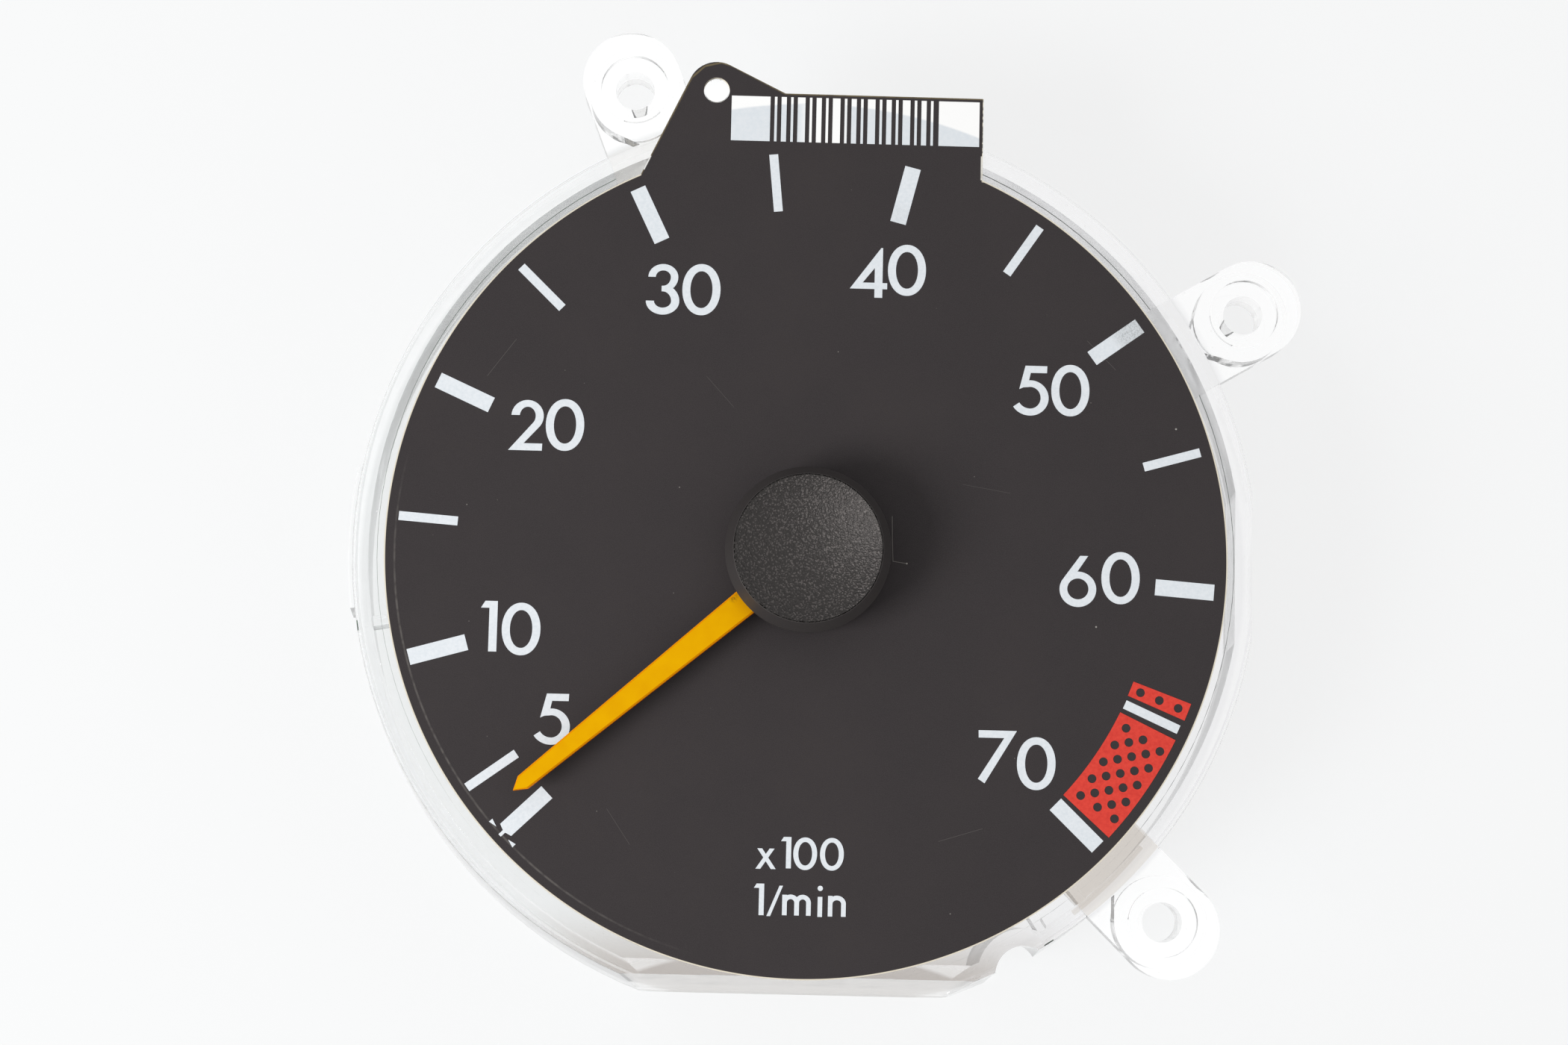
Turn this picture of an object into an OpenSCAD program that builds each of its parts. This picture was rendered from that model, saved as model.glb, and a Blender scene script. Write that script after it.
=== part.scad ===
// Car tachometer insert: printed dial, pointer, clear moulded carrier with three screw lugs,
// crossed-coil movement and driver board. Millimetres. The origin is on the spindle axis in the
// plane that the back rests on. The dial faces +Z, and +Y is up on the dial.

/* [Carrier] */
// Height of the front plate's face above the back plane
carrier_h = 20; // [19:0.5:24]
// Thickness of the clear front plate under the dial
plate_t = 2.4; // [2:0.1:3]
// Radius of the raised seat that the dial lies on
seat_r = 50.9; // [50.5:0.1:51.5]
// Height of the seat above the shoulder round it
seat_h = 0.5; // [0.3:0.1:0.8]
// Thickness of the skirt wall
wall_t = 2; // [1.6:0.1:2.4]
// Outer radius of the skirt at the front
rim_front_r = 53.9; // [53:0.1:54.5]
// Outer radius of the skirt at the back, wider for the draft of the mould
rim_back_r = 55.5; // [55:0.1:57]
// Radius of the rounded front edge of the skirt
rim_round_r = 0.7; // [0.3:0.1:1]
// Distance of the bottom flat from the axis at the front
foot_flat_front = 49.6; // [49:0.1:51]
// Distance of the bottom flat from the axis at the back
foot_flat_back = 52.3; // [51.5:0.1:53.5]
// Distance of the right-hand flat from the axis at the front
side_flat_front = 53.1; // [52.6:0.1:53.8]
// Distance of the right-hand flat from the axis at the back
side_flat_back = 54.7; // [54:0.1:56]
// Direction of the round scoop in the skirt
scoop_angle = 298.6; // [296:0.1:300]
// Radius of the scoop
scoop_r = 3.4; // [2.5:0.1:4]
// Distance of the scoop's axis from the spindle
scoop_pitch_r = 55.6; // [55:0.1:57]
// First direction of the thicker pad on the left
pad_from = 170; // [165:1:175]
// Last direction of the thicker pad on the left
pad_to = 188; // [184:1:192]
// How far the pad stands out of the skirt
pad_out = 0.45; // [0.3:0.05:0.8]
// Thickness of the radial stiffening ribs
rib_t = 1.2; // [0.8:0.1:1.6]
// Height of the radial ribs under the front plate
rib_h = 5; // [3:0.5:7]

/* [Lugs] */
// Directions of the three screw lugs
lug_angles = [30.4, 111.4, 315.3];
// Distance of the lug holes from the spindle
lug_pitch_r = 60.2; // [60:0.1:62]
// Width of a lug arm
lug_w = 11.8; // [11.4:0.1:13]
// Thickness of a lug arm
lug_arm_t = 3.2; // [2.5:0.1:4]
// How far the centre of the arm's round end lies beyond the screw hole
lug_end_out = 1.1; // [0.5:0.1:1.5]
// Radius of the screw boss
lug_boss_r = 5.5; // [5:0.1:5.7]
// Height of the screw boss
lug_boss_h = 7; // [6:0.5:8]
// Radius of the recess for the screw head
lug_recess_r = 4.1; // [3.5:0.1:4.5]
// Depth of the recess for the screw head
lug_recess_d = 1; // [0.5:0.1:1.5]
// Radius of the screw hole
lug_hole_r = 2.35; // [2.1:0.05:2.6]

/* [Dial] */
// Radius of the dial
dial_r = 50; // [49.5:0.1:50.5]
// Thickness of the dial sheet
dial_t = 0.8; // [0.6:0.1:1.2]
// Radius of the hole for the pointer bush
dial_hole_r = 4.2; // [3.9:0.1:5]
// Height of the tab's top edge above the spindle
tab_top_y = 55.8; // [55:0.1:57]
// Right-hand side of the tab
tab_right_x = 20.1; // [18:0.1:22]
// Place along X where the tab's top edge meets the slope
tab_kink_x = -3.8; // [-5:0.1:-2]
// Place along X where the tab's left edge leaves the round dial
tab_foot_x = -21; // [-22:0.1:-20]
// Place of the tab's locating hole along X
tab_hole_x = -12.1; // [-13:0.1:-11]
// Place of the tab's locating hole along Y
tab_hole_y = 55.96; // [55.5:0.02:56.5]
// Radius of the tab's locating hole
tab_hole_r = 1.56; // [1.4:0.02:1.8]
// Radius of the tab's rounded corner round the hole
tab_lobe_r = 3.5; // [3:0.1:4]
// Radial clearance between the tab's hole and the locating pin
pin_gap = 0.12; // [0.05:0.01:0.2]

/* [Scale marks] */
// Thickness of the printed marks
print_t = 0.04; // [0.03:0.01:0.08]
// Direction of the zero mark
zero_angle = 224; // [220:1:228]
// Direction of the mark for 10
ten_angle = 196; // [190:1:200]
// Turn from one numbered mark to the next
ten_turn = 40; // [36:1:42]
// Radius where the marks end outside
mark_outer_r = 48.5; // [47:0.1:49]
// Length of the marks
mark_l = 7; // [5:0.1:8]
// Width of the numbered marks
major_w = 1.92; // [1.5:0.01:2.5]
// Width of the marks between
minor_w = 1.07; // [0.8:0.01:1.4]
// Radius of the dots in the red band
dot_r = 0.52; // [0.3:0.02:0.7]
// Space from one row of dots to the next
dot_pitch = 1.7; // [1.5:0.02:2.4]

/* [Pointer] */
// Direction of the pointer at rest
rest_angle = 220.6; // [218:0.1:224]
// How far the pointer can turn back from rest
turn_back = 3.4; // [2:0.1:5]
// How far the pointer can turn up the scale from rest
turn_up = 268; // [260:1:270]
// Height of the blade's underside above the dial
blade_lift = 2.2; // [1.8:0.1:3]
// Thickness of the blade
blade_t = 1.2; // [0.8:0.1:1.6]
// Width of the blade where it leaves the cap
blade_root_w = 3.4; // [2.5:0.1:4]
// Width of the blade at the shoulder of its tip
blade_tip_w = 1.9; // [1.2:0.1:2.2]
// Radius of the shoulder where the tip begins
blade_shoulder_r = 42.8; // [41:0.1:44]
// Length of the pointed tip
blade_point_l = 1.5; // [1:0.1:3]
// Width of the bevel along the blade's upper edges
blade_bevel = 0.2; // [0.1:0.05:0.5]
// Radius of the blade's hub ring
blade_hub_r = 5.2; // [4.5:0.1:6]
// Greatest radius of the cap
cap_r = 9.75; // [9.2:0.05:10.5]
// Radius of the cap's top face
cap_face_r = 8.8; // [8.5:0.05:9.1]
// Height of the cap's widest place above the dial
cap_wide_z = 5.3; // [5:0.1:6]
// Height of the cap's rim above the dial
cap_top_z = 6.93; // [6.6:0.01:7.5]
// Height of the cap's lower edge above the dial
cap_low_z = 1.1; // [0.9:0.1:1.5]
// How far the cap's side draws in to its lower edge
cap_draft = 0.3; // [0.1:0.05:0.6]
// Depth of the hollow in the cap's top face
cap_dish = 0.8; // [0.2:0.05:1]
// Thickness of the cap's side wall
cap_wall = 1.1; // [0.9:0.1:1.4]
// Thickness of the cap's roof at its middle
cap_roof_t = 0.85; // [0.7:0.05:1.1]
// Radius of the pointer bush
bush_r = 2.3; // [2:0.1:2.8]
// Radius of the bush's flange
bush_flange_r = 3.6; // [3.2:0.1:3.8]
// Radius of the balance weight
weight_r = 1.3; // [1:0.05:1.35]

/* [Movement] */
// Radius of the spindle
spindle_r = 0.75; // [0.6:0.05:1]
// Radial running clearance of the spindle in its bearings
run_gap = 0.04; // [0.02:0.01:0.08]
// Clearance of pressed pieces, a side
press_gap = 0.01; // [0.01:0.01:0.03]
// Outer radius of the screening can
can_r = 13.9; // [13.5:0.1:15]
// Thickness of the can's sheet
can_t = 0.6; // [0.4:0.1:0.8]
// Height of the can
can_h = 14.5; // [14:0.1:15]
// Depth to which the can's mouth sits in the frame
can_seat = 0.8; // [0.5:0.1:1]
// Thickness of the movement's frame
frame_t = 2; // [1.8:0.1:2.4]
// Distance of the terminal pins outside the can
terminal_out = 2.5; // [2.2:0.1:3.5]
// Rim of the frame outside the terminal pins
frame_rim = 1; // [0.8:0.1:2]
// Distance of the frame's screws outside its rim
frame_screw_out = 3.2; // [2.9:0.1:5]
// Direction of the frame's first ear
frame_screw_angle = 20; // [0:1:45]
// Radius of an ear round its screw
frame_ear_r = 3.6; // [3:0.1:4]
// Radius of the stop cup outside
cup_r = 6.8; // [6.4:0.1:7.2]
// Wall of the stop cup
cup_wall = 1.1; // [0.9:0.1:1.3]
// Thickness of the stop cup's floor
cup_floor = 1; // [0.8:0.1:1.3]
// Length of the stop arm from the spindle
stop_arm_l = 5.2; // [4.6:0.1:5.2]
// Width of the stop arm
stop_arm_w = 1.6; // [1.2:0.1:2]
// Clearance between the stop arm and the stop block at each limit
stop_gap = 0.06; // [0.04:0.01:0.1]
// Wall of the bobbins round the rotor's space
bobbin_wall = 1.1; // [0.9:0.1:1.6]
// Thickness of the rotor magnet
magnet_t = 3.6; // [3:0.1:4]
// Clearance between the magnet and the bobbins, and between other inner pieces
inner_gap = 0.5; // [0.3:0.05:0.6]
// Height of the space for the rotor
rotor_space_h = 5; // [4.8:0.1:5.6]
// Clearance between the bobbins' posts and the can
post_gap = 0.18; // [0.1:0.02:0.4]
// Thickness of the bobbins' floor and roof
bobbin_t = 1; // [0.8:0.1:1.1]
// Radial thickness of each winding
coil_t = 1; // [0.8:0.05:1.05]
// Distance of a winding from the side of its bobbin
coil_margin = 0.8; // [0.7:0.1:1.2]
// Space between the two halves of a winding
coil_split = 5.6; // [5.4:0.1:6]
// Radius of the posts at the bobbins' corners
bobbin_post_r = 1.1; // [0.9:0.1:1.2]
// Radius of the bearings
bearing_r = 1.7; // [1.5:0.1:1.9]
// Radius of the movement's terminal pins
terminal_r = 0.4; // [0.3:0.05:0.5]

/* [Board] */
// Clearance between the circuit board and the skirt
board_edge_gap = 2.56; // [1.5:0.02:3.5]
// Thickness of the circuit board
board_t = 1.6; // [1.2:0.1:1.6]
// Height of the board's rear face above the back plane
board_z = 6.4; // [6.2:0.1:7]
// Clearance between the board's hole and the can
board_can_gap = 0.8; // [0.5:0.1:1.2]
// Clearance round a pin in the board
hole_gap = 0.15; // [0.1:0.05:0.25]
// Distance of the board's screws inside its edge
board_screw_inset = 6.8; // [6:0.1:8]
// Direction of the board's first screw
board_screw_angle = 70; // [60:1:80]
// Radius of the carrier's bosses for the board
board_boss_r = 3.2; // [2.8:0.1:3.6]
// Radius of the board screws' shanks
board_shank_r = 1.4; // [1.2:0.1:1.6]
// Radius of the board screws' heads
board_head_r = 2.7; // [2.4:0.1:3]
// Length of the board screws under the head
board_screw_l = 7.5; // [6:0.5:9]
// Radius of the movement screws' shanks
frame_shank_r = 1.1; // [0.9:0.1:1.2]
// Radius of the movement screws' heads
frame_head_r = 2; // [1.8:0.1:2.2]
// Length of the movement screws under the head
frame_screw_l = 5.2; // [4.5:0.1:5.4]
// Height of every screw head
head_h = 1.6; // [1.4:0.1:1.8]
// Clearance round the screws in their threads
thread_gap = 0.02; // [0.01:0.01:0.05]

/* [Components] */
// Length of the driver chip
chip_l = 19.2; // [18:0.1:20]
// Width of the driver chip's body
chip_w = 6.3; // [6:0.1:6.6]
// Height of the driver chip's body
chip_h = 3.3; // [3:0.1:3.6]
// Distance between neighbouring legs of the chip
chip_pitch = 2.54; // [2.5:0.01:2.6]
// Legs on each side of the chip
chip_legs = 8; // [7:1:8]
// Space between a component and the board
standoff = 0.4; // [0.3:0.1:0.6]
// Radius of the electrolytic capacitors
can_cap_r = 2.5; // [2:0.1:2.6]
// Length of the electrolytic capacitors
can_cap_l = 11; // [9:0.5:12]
// Length of the film capacitors
film_l = 7.2; // [6:0.1:8]
// Width of the film capacitors
film_w = 2.6; // [2.2:0.1:3.2]
// Height of the film capacitors
film_h = 4.8; // [4:0.1:5.2]
// Radius of the resistors' end caps
resistor_r = 1.2; // [1:0.05:1.3]
// Length of the resistors
resistor_l = 6.4; // [6:0.1:7]
// Radius of the component wires
wire_r = 0.3; // [0.25:0.05:0.4]
// Width of the trimmer's square body
trimmer_w = 7; // [6.5:0.1:7.5]
// Height of the trimmer's body
trimmer_h = 3.4; // [3:0.1:3.8]
// Radius of the trimmer's rotor
trimmer_rotor_r = 2.4; // [2:0.1:2.8]
// Contacts in the plug
plug_pins = 4; // [3:1:5]
// Distance between the plug's contacts
plug_pitch = 5; // [4:0.1:5.5]
// Radius of a plug contact
plug_pin_r = 0.55; // [0.4:0.05:0.7]
// Height of the plug's moulded base
plug_base_h = 2.6; // [2:0.1:3.2]
// Width of the plug's moulded base
plug_base_w = 5; // [4:0.1:6]

/* [Hidden] */
$fn = 96;
// Cutting solids reach past the faces they cut by this much
past = 1;
// Joined solids sink into what they stand on by this much
root = 0.2;

plate_z = carrier_h - plate_t;
dial_z = carrier_h + dial_t;
mark_inner_r = mark_outer_r - mark_l;
band_out_r = mark_outer_r + 0.2;
band_in_r = mark_inner_r - 0.08;
shoulder_z = carrier_h - seat_h;
lug_low_z = carrier_h - lug_boss_h;
lug_arm_z = carrier_h - lug_arm_t;
lug_end_r = lug_pitch_r + lug_end_out;
// The lug arms run in under the dial's edge as far as this
lug_root_r = seat_r - 1.4;
blade_z = dial_z + blade_lift;
cap_low = dial_z + cap_low_z;
cap_wide = dial_z + cap_wide_z;
cap_top = dial_z + cap_top_z;
cap_inside_r = cap_r - cap_draft - cap_wall;
cap_roof_z = cap_top - cap_dish - cap_roof_t;
bush_low_z = dial_z + 0.8;
bush_flange_t = 0.6;
hub_low_z = bush_low_z + bush_flange_t;
bush_top_z = cap_roof_z - 0.3;
spindle_top_z = bush_top_z - 0.6;
weight_gap = 0.2;
weight_pitch_r = blade_hub_r + weight_gap + weight_r;
tail_end_r = weight_r + weight_gap / 2;
frame_z = can_h - can_seat;
frame_top_z = frame_z + frame_t;
cup_floor_z = frame_top_z + cup_floor;
cup_top_z = carrier_h - 0.2;
cup_in_r = cup_r - cup_wall;
// The carrier's hole and collar clear the stop cup by this much
cup_gap = 0.25;
stop_hub_r = 1.9;
stop_z = cup_floor_z + 0.7;
stop_t = 1.2;
stop_block_top_z = stop_z + stop_t;
can_in_r = can_r - can_t;
can_fold = 0.8;
terminal_pitch_r = can_r + terminal_out;
frame_r = terminal_pitch_r + terminal_r + frame_rim;
frame_screw_r = frame_r + frame_screw_out;
coil_layer = coil_t + 0.1;
roof_z = frame_z - 0.3 - 2 * coil_layer - bobbin_t;
rotor_low_z = roof_z - rotor_space_h;
floor_z = rotor_low_z - bobbin_t;
split_z = rotor_low_z + rotor_space_h / 2;
magnet_z = split_z - magnet_t / 2;
spindle_tip_z = floor_z - 1.3;
lower_bearing_r = bearing_r - 0.2;
post_place = (can_in_r - post_gap - bobbin_post_r) / sqrt(2);
bobbin_half = post_place - 0.7;
rotor_space_r = bobbin_half - bobbin_wall;
magnet_r = rotor_space_r - inner_gap;
coil_w = bobbin_half - coil_split / 2 - coil_margin;
neck_r = 2.5;
terminal_angles = [62, 118, 242, 298];
board_top_z = board_z + board_t;
board_r = rim_r(board_top_z) - wall_t - board_edge_gap;
board_screw_r = board_r - board_screw_inset;
board_hole_r = can_r + board_can_gap;
board_screw_angles = [for (k = [0:2]) board_screw_angle + 120 * k];
frame_screw_angles = [frame_screw_angle, frame_screw_angle + 180];
// The places below are drawn for a board of this radius and spread with the real one
drawn_board_r = 50.3;
spread = board_r / drawn_board_r;
// The rear face of the board carries the components, each at [x, y, turn]
chip_place = [-31, 9, 90];
can_cap_places = [[-24, -24, 35], [-31, -17, 35]];
film_places = [[22, 27, 0], [33, 12, 90], [33, 2, 90]];
resistor_places = [[-18, 30, 0], [-18, 34.5, 0], [-8, 26, 90], [6, 28, 90], [11, 28, 90],
    [24, -6, 90], [28.5, -6, 90], [24, -19, 90], [-20, -5, 90], [-40, 14, 90]];
power_place = [29, -25, 45];
diode_places = [[-2, 30, 90], [2, 36, 0], [38, -12, 90]];
trimmer_place = [23.5, 34, 0];
plug_y = -38 * spread;
plug_xs = [for (k = [0:plug_pins - 1]) (k - (plug_pins - 1) / 2) * plug_pitch];
trimmer_recess = 1.5;
// Length of a component's wire from inside its body to its bend
wire_run = 1.8;

function polar(r, a) = [r * cos(a), r * sin(a)];
function rim_r(z) = rim_back_r + (rim_front_r - rim_back_r) * z / carrier_h;
// The two points where lines from a point p touch a circle, side is 1 or -1
function touch(p, c, r, side) =
    let (d = norm(p - c), a = atan2(p[1] - c[1], p[0] - c[0]) + side * acos(r / d)) c + polar(r, a);

module tube(r_out, r_in, z, h) {
    translate([0, 0, z]) difference() {
        cylinder(r = r_out, h = h);
        translate([0, 0, -past]) cylinder(r = r_in, h = h + 2 * past);
    }
}

// A space outside a leaning flat, which faces the direction a and is drawn in by inset
module flat_space(a, back, front, inset) {
    lean = atan((back - front) / carrier_h);
    side = 4 * rim_back_r;
    rotate([0, 0, a + 90]) translate([0, -back, 0]) rotate([-lean, 0, 0])
        translate([-side / 2, inset - side, -side / 2]) cube([side, side, side]);
}

// The carrier's outer form drawn in by inset, from z = low to z = high, with a seat of height seat on it
module carrier_form(inset, low, high, round_r, seat = 0) {
    steps = 4;
    edge = [for (k = [0:steps]) let (a = 90 * k / steps)
        [rim_r(high) - inset - round_r + round_r * cos(a), high - round_r + round_r * sin(a)]];
    difference() {
        rotate_extrude() polygon(concat([[0, low], [rim_r(low) - inset, low]], edge,
            seat > 0 ? [[seat_r, high], [seat_r, high + seat]] : [], [[0, high + seat]]));
        flat_space(270, foot_flat_back, foot_flat_front, inset);
        flat_space(0, side_flat_back, side_flat_front, inset);
        translate(concat(polar(scoop_pitch_r, scoop_angle), low - past))
            cylinder(r = scoop_r + inset, h = high - low + 2 * past);
    }
}

module lug_arm(a) {
    lug_web_step = 0.8;
    // The web's sides leave the boss at 45 degrees and meet the skirt
    web_side = lug_boss_r * sin(45);
    web_root_r = rim_r(lug_arm_z) - wall_t / 2;
    web_root = web_side - (lug_pitch_r - web_side - web_root_r);
    rotate([0, 0, a]) {
        translate([0, 0, lug_arm_z]) linear_extrude(lug_arm_t) union() {
            translate([lug_root_r, -lug_w / 2]) square([lug_end_r - lug_root_r, lug_w]);
            translate([lug_end_r, 0]) circle(r = lug_w / 2);
        }
        translate([lug_pitch_r, 0, lug_low_z]) cylinder(r = lug_boss_r, h = lug_boss_h);
        translate([0, 0, lug_low_z + lug_web_step]) linear_extrude(lug_arm_z + root - lug_low_z - lug_web_step)
            polygon([[web_root_r, -web_root], [lug_pitch_r - web_side, -web_side], [lug_pitch_r, -web_side],
                [lug_pitch_r, web_side], [lug_pitch_r - web_side, web_side], [web_root_r, web_root]]);
    }
}

module lug_bore(a) {
    rotate([0, 0, a]) translate([lug_pitch_r, 0, 0]) {
        translate([0, 0, lug_low_z - past]) cylinder(r = lug_hole_r, h = lug_boss_h + 2 * past);
        translate([0, 0, carrier_h - lug_recess_d]) cylinder(r = lug_recess_r, h = past + lug_recess_d);
    }
}

// The arm that carries the dial's tab, with the pin that locates it
module tab_arm() {
    a = atan2(tab_hole_y, tab_hole_x);
    reach = norm([tab_hole_x, tab_hole_y]);
    arm_w = 2 * tab_lobe_r - 1.2;
    arm_t = 2;
    rotate([0, 0, a]) {
        translate([0, 0, carrier_h - arm_t]) linear_extrude(arm_t) union() {
            translate([lug_root_r, -arm_w / 2]) square([reach - lug_root_r, arm_w]);
            translate([reach, 0]) circle(r = arm_w / 2);
        }
        translate([reach, 0, carrier_h - arm_t])
            cylinder(r = tab_hole_r - pin_gap, h = arm_t + dial_t - 0.1);
    }
}

module rib(a, from_r, to_r, h) {
    rotate([0, 0, a]) translate([from_r, -rib_t / 2, plate_z - h])
        cube([to_r - from_r, rib_t, h + past / 2]);
}

module skirt_pad() {
    low = carrier_h * 0.35;
    high = shoulder_z - rim_round_r;
    rotate([0, 0, pad_from]) rotate_extrude(angle = pad_to - pad_from)
        polygon([[rim_r(low) - wall_t / 2, low], [rim_r(low) + pad_out, low],
            [rim_r(high) + pad_out, high], [rim_r(high) - wall_t / 2, high]]);
}

module carrier() color([0.86, 0.88, 0.9, 0.45]) {
    collar_out = 2.7;
    collar_r = cup_r + collar_out;
    frame_boss_r = 3;
    pilot_skin = 0.7;
    scoop_rib_turn = 4.9;
    scoop_rib_l = 6.9;
    difference() {
        union() {
            difference() {
                carrier_form(0, 0, shoulder_z, rim_round_r, seat_h);
                carrier_form(wall_t, -past, plate_z, 0.01);
            }
            skirt_pad();
            for (a = lug_angles) lug_arm(a);
            tab_arm();
            tube(collar_r, cup_r + cup_gap, frame_top_z, plate_z - frame_top_z + past / 2);
            for (a = frame_screw_angles) translate(concat(polar(frame_screw_r, a), frame_top_z))
                cylinder(r = frame_boss_r, h = plate_z - frame_top_z + past / 2);
            for (a = board_screw_angles) translate(concat(polar(board_screw_r, a), board_top_z))
                cylinder(r = board_boss_r, h = plate_z - board_top_z + past / 2);
            for (a = board_screw_angles) rib(a, board_screw_r, rim_front_r - wall_t / 2, rib_h);
            rib(scoop_angle + scoop_rib_turn, rim_front_r - scoop_rib_l, rim_front_r - wall_t / 2, rib_h);
        }
        for (a = lug_angles) lug_bore(a);
        translate([0, 0, plate_z - past]) cylinder(r = cup_r + cup_gap, h = plate_t + 2 * past);
        for (a = frame_screw_angles) translate(concat(polar(frame_screw_r, a), frame_top_z - past))
            cylinder(r = frame_shank_r + thread_gap, h = carrier_h - pilot_skin - frame_top_z + past);
        for (a = board_screw_angles) translate(concat(polar(board_screw_r, a), board_top_z - past))
            cylinder(r = board_shank_r + thread_gap, h = board_screw_l + past);
    }
}

module dial_outline(t) {
    hole = [tab_hole_x, tab_hole_y];
    foot = [tab_foot_x, sqrt(pow(dial_r, 2) - pow(tab_foot_x, 2)) - 0.1];
    kink = [tab_kink_x, tab_top_y];
    union() {
        cylinder(r = dial_r, h = t);
        translate(hole) cylinder(r = tab_lobe_r, h = t);
        linear_extrude(t) polygon([[0, 0], foot, touch(foot, hole, tab_lobe_r, -1), hole,
            touch(kink, hole, tab_lobe_r, 1), kink, [tab_right_x, tab_top_y], [tab_right_x, 0]]);
    }
}

module dial_plate() color([0.13, 0.12, 0.12]) {
    difference() {
        translate([0, 0, carrier_h]) dial_outline(dial_t);
        translate([0, 0, carrier_h - past]) cylinder(r = dial_hole_r, h = dial_t + 2 * past);
        translate([tab_hole_x, tab_hole_y, carrier_h - past])
            cylinder(r = tab_hole_r, h = dial_t + 2 * past);
    }
}

module mark(a, w) {
    rotate([0, 0, a]) translate([mark_inner_r, -w / 2, dial_z]) cube([mark_l, w, print_t]);
}

// The direction on the scale for a reading v, in hundreds of turns a minute
function scale_angle(v) = ten_angle - ten_turn * (v - 10) / 10;

// The zero mark, with its stub and the two small triangles beside it
module zero_mark() {
    shoulder_r = mark_outer_r - 0.5;
    stub_r = mark_outer_r + 0.45;
    half = major_w / 2;
    stub_w = 0.4;
    rotate([0, 0, zero_angle]) translate([0, 0, dial_z]) linear_extrude(print_t) {
        polygon([[mark_inner_r, -half], [shoulder_r, -half], [shoulder_r + 0.25, -stub_w / 2],
            [stub_r, -stub_w / 2], [stub_r, stub_w / 2], [shoulder_r + 0.25, stub_w / 2],
            [shoulder_r, half], [mark_inner_r, half]]);
        for (s = [-1, 1]) polygon([polar(stub_r - 0.12, 2.4 * s), polar(stub_r - 0.65, 2.4 * s),
            polar(stub_r - 0.4, 1.2 * s)]);
    }
}

module scale_marks() color([0.9, 0.92, 0.95]) {
    zero_mark();
    for (v = [10:10:70]) mark(scale_angle(v), major_w);
    for (v = [5:10:65]) mark(scale_angle(v), minor_w);
}

// A hole for a dot of the red band
module dot_hole(p) {
    translate([p[0], p[1], dial_z - past]) cylinder(r = dot_r, h = print_t + 2 * past, $fn = 24);
}

// A block of the red band, from one direction down to another, with the children cut out
module red_block(a_from, a_to) {
    difference() {
        translate([0, 0, dial_z]) rotate([0, 0, a_to]) rotate_extrude(angle = a_from - a_to)
            translate([band_in_r, 0]) square([band_out_r - band_in_r, print_t]);
        children();
    }
}

module red_band() color([0.82, 0.22, 0.17]) {
    limit = scale_angle(65);
    first = limit + 4;
    gap = 1.5;
    last = limit - 18;
    lean = 11.7;
    margin = dot_r + 0.33;
    middle_r = (band_out_r + band_in_r) / 2;
    middle = polar(middle_r, (limit - gap + last) / 2);
    red_block(first, limit + gap)
        for (k = [-1:1]) dot_hole(polar(middle_r + k * dot_pitch * sqrt(2), (first + limit + gap) / 2));
    red_block(limit - gap, last) for (i = [-5:5], j = [-5:5]) {
        p = middle + dot_pitch * (polar(i, lean) + polar(j, lean + 90));
        r = norm(p);
        a = atan2(p[1], p[0]);
        side = r * sin(min(limit - gap - a, a - last));
        if (min(r - band_in_r, band_out_r - r, side) > margin) dot_hole(p);
    }
}

// Everything that turns with the pointer is drawn along +X and turned to the rest direction
module at_rest() {
    rotate([0, 0, rest_angle]) children();
}

module blade_outline(inset) {
    root_half = blade_root_w / 2 - inset;
    tip_half = blade_tip_w / 2 - inset;
    polygon([[blade_hub_r - 1, -root_half], [blade_shoulder_r, -tip_half],
        [blade_shoulder_r + blade_point_l - inset, 0], [blade_shoulder_r, tip_half],
        [blade_hub_r - 1, root_half]]);
}

module pointer_blade() color([0.92, 0.62, 0.02]) {
    tail_w = 2 * tail_end_r;
    at_rest() difference() {
        union() {
            hull() {
                translate([0, 0, blade_z]) linear_extrude(blade_t - blade_bevel) blade_outline(0);
                translate([0, 0, blade_z]) linear_extrude(blade_t) blade_outline(blade_bevel);
            }
            translate([0, 0, hub_low_z]) cylinder(r = blade_hub_r, h = blade_z + blade_t - hub_low_z);
            translate([-weight_pitch_r, -tail_w / 2, blade_z]) cube([weight_pitch_r, tail_w, blade_t]);
            translate([-weight_pitch_r, 0, blade_z]) cylinder(r = tail_end_r, h = blade_t);
        }
        translate([0, 0, hub_low_z - past]) cylinder(r = bush_r + press_gap, h = 3 * blade_t + 2 * past);
        translate([-weight_pitch_r, 0, blade_z - past])
            cylinder(r = weight_r / 2 + press_gap, h = blade_t + 2 * past);
    }
}

module balance_weight() color([0.78, 0.62, 0.3]) {
    plate_h = 0.9;
    at_rest() translate([-weight_pitch_r, 0, 0]) {
        translate([0, 0, blade_z - plate_h]) cylinder(r = weight_r, h = plate_h);
        translate([0, 0, blade_z - plate_h]) cylinder(r = weight_r / 2, h = plate_h + blade_t + 0.2);
    }
}

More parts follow.
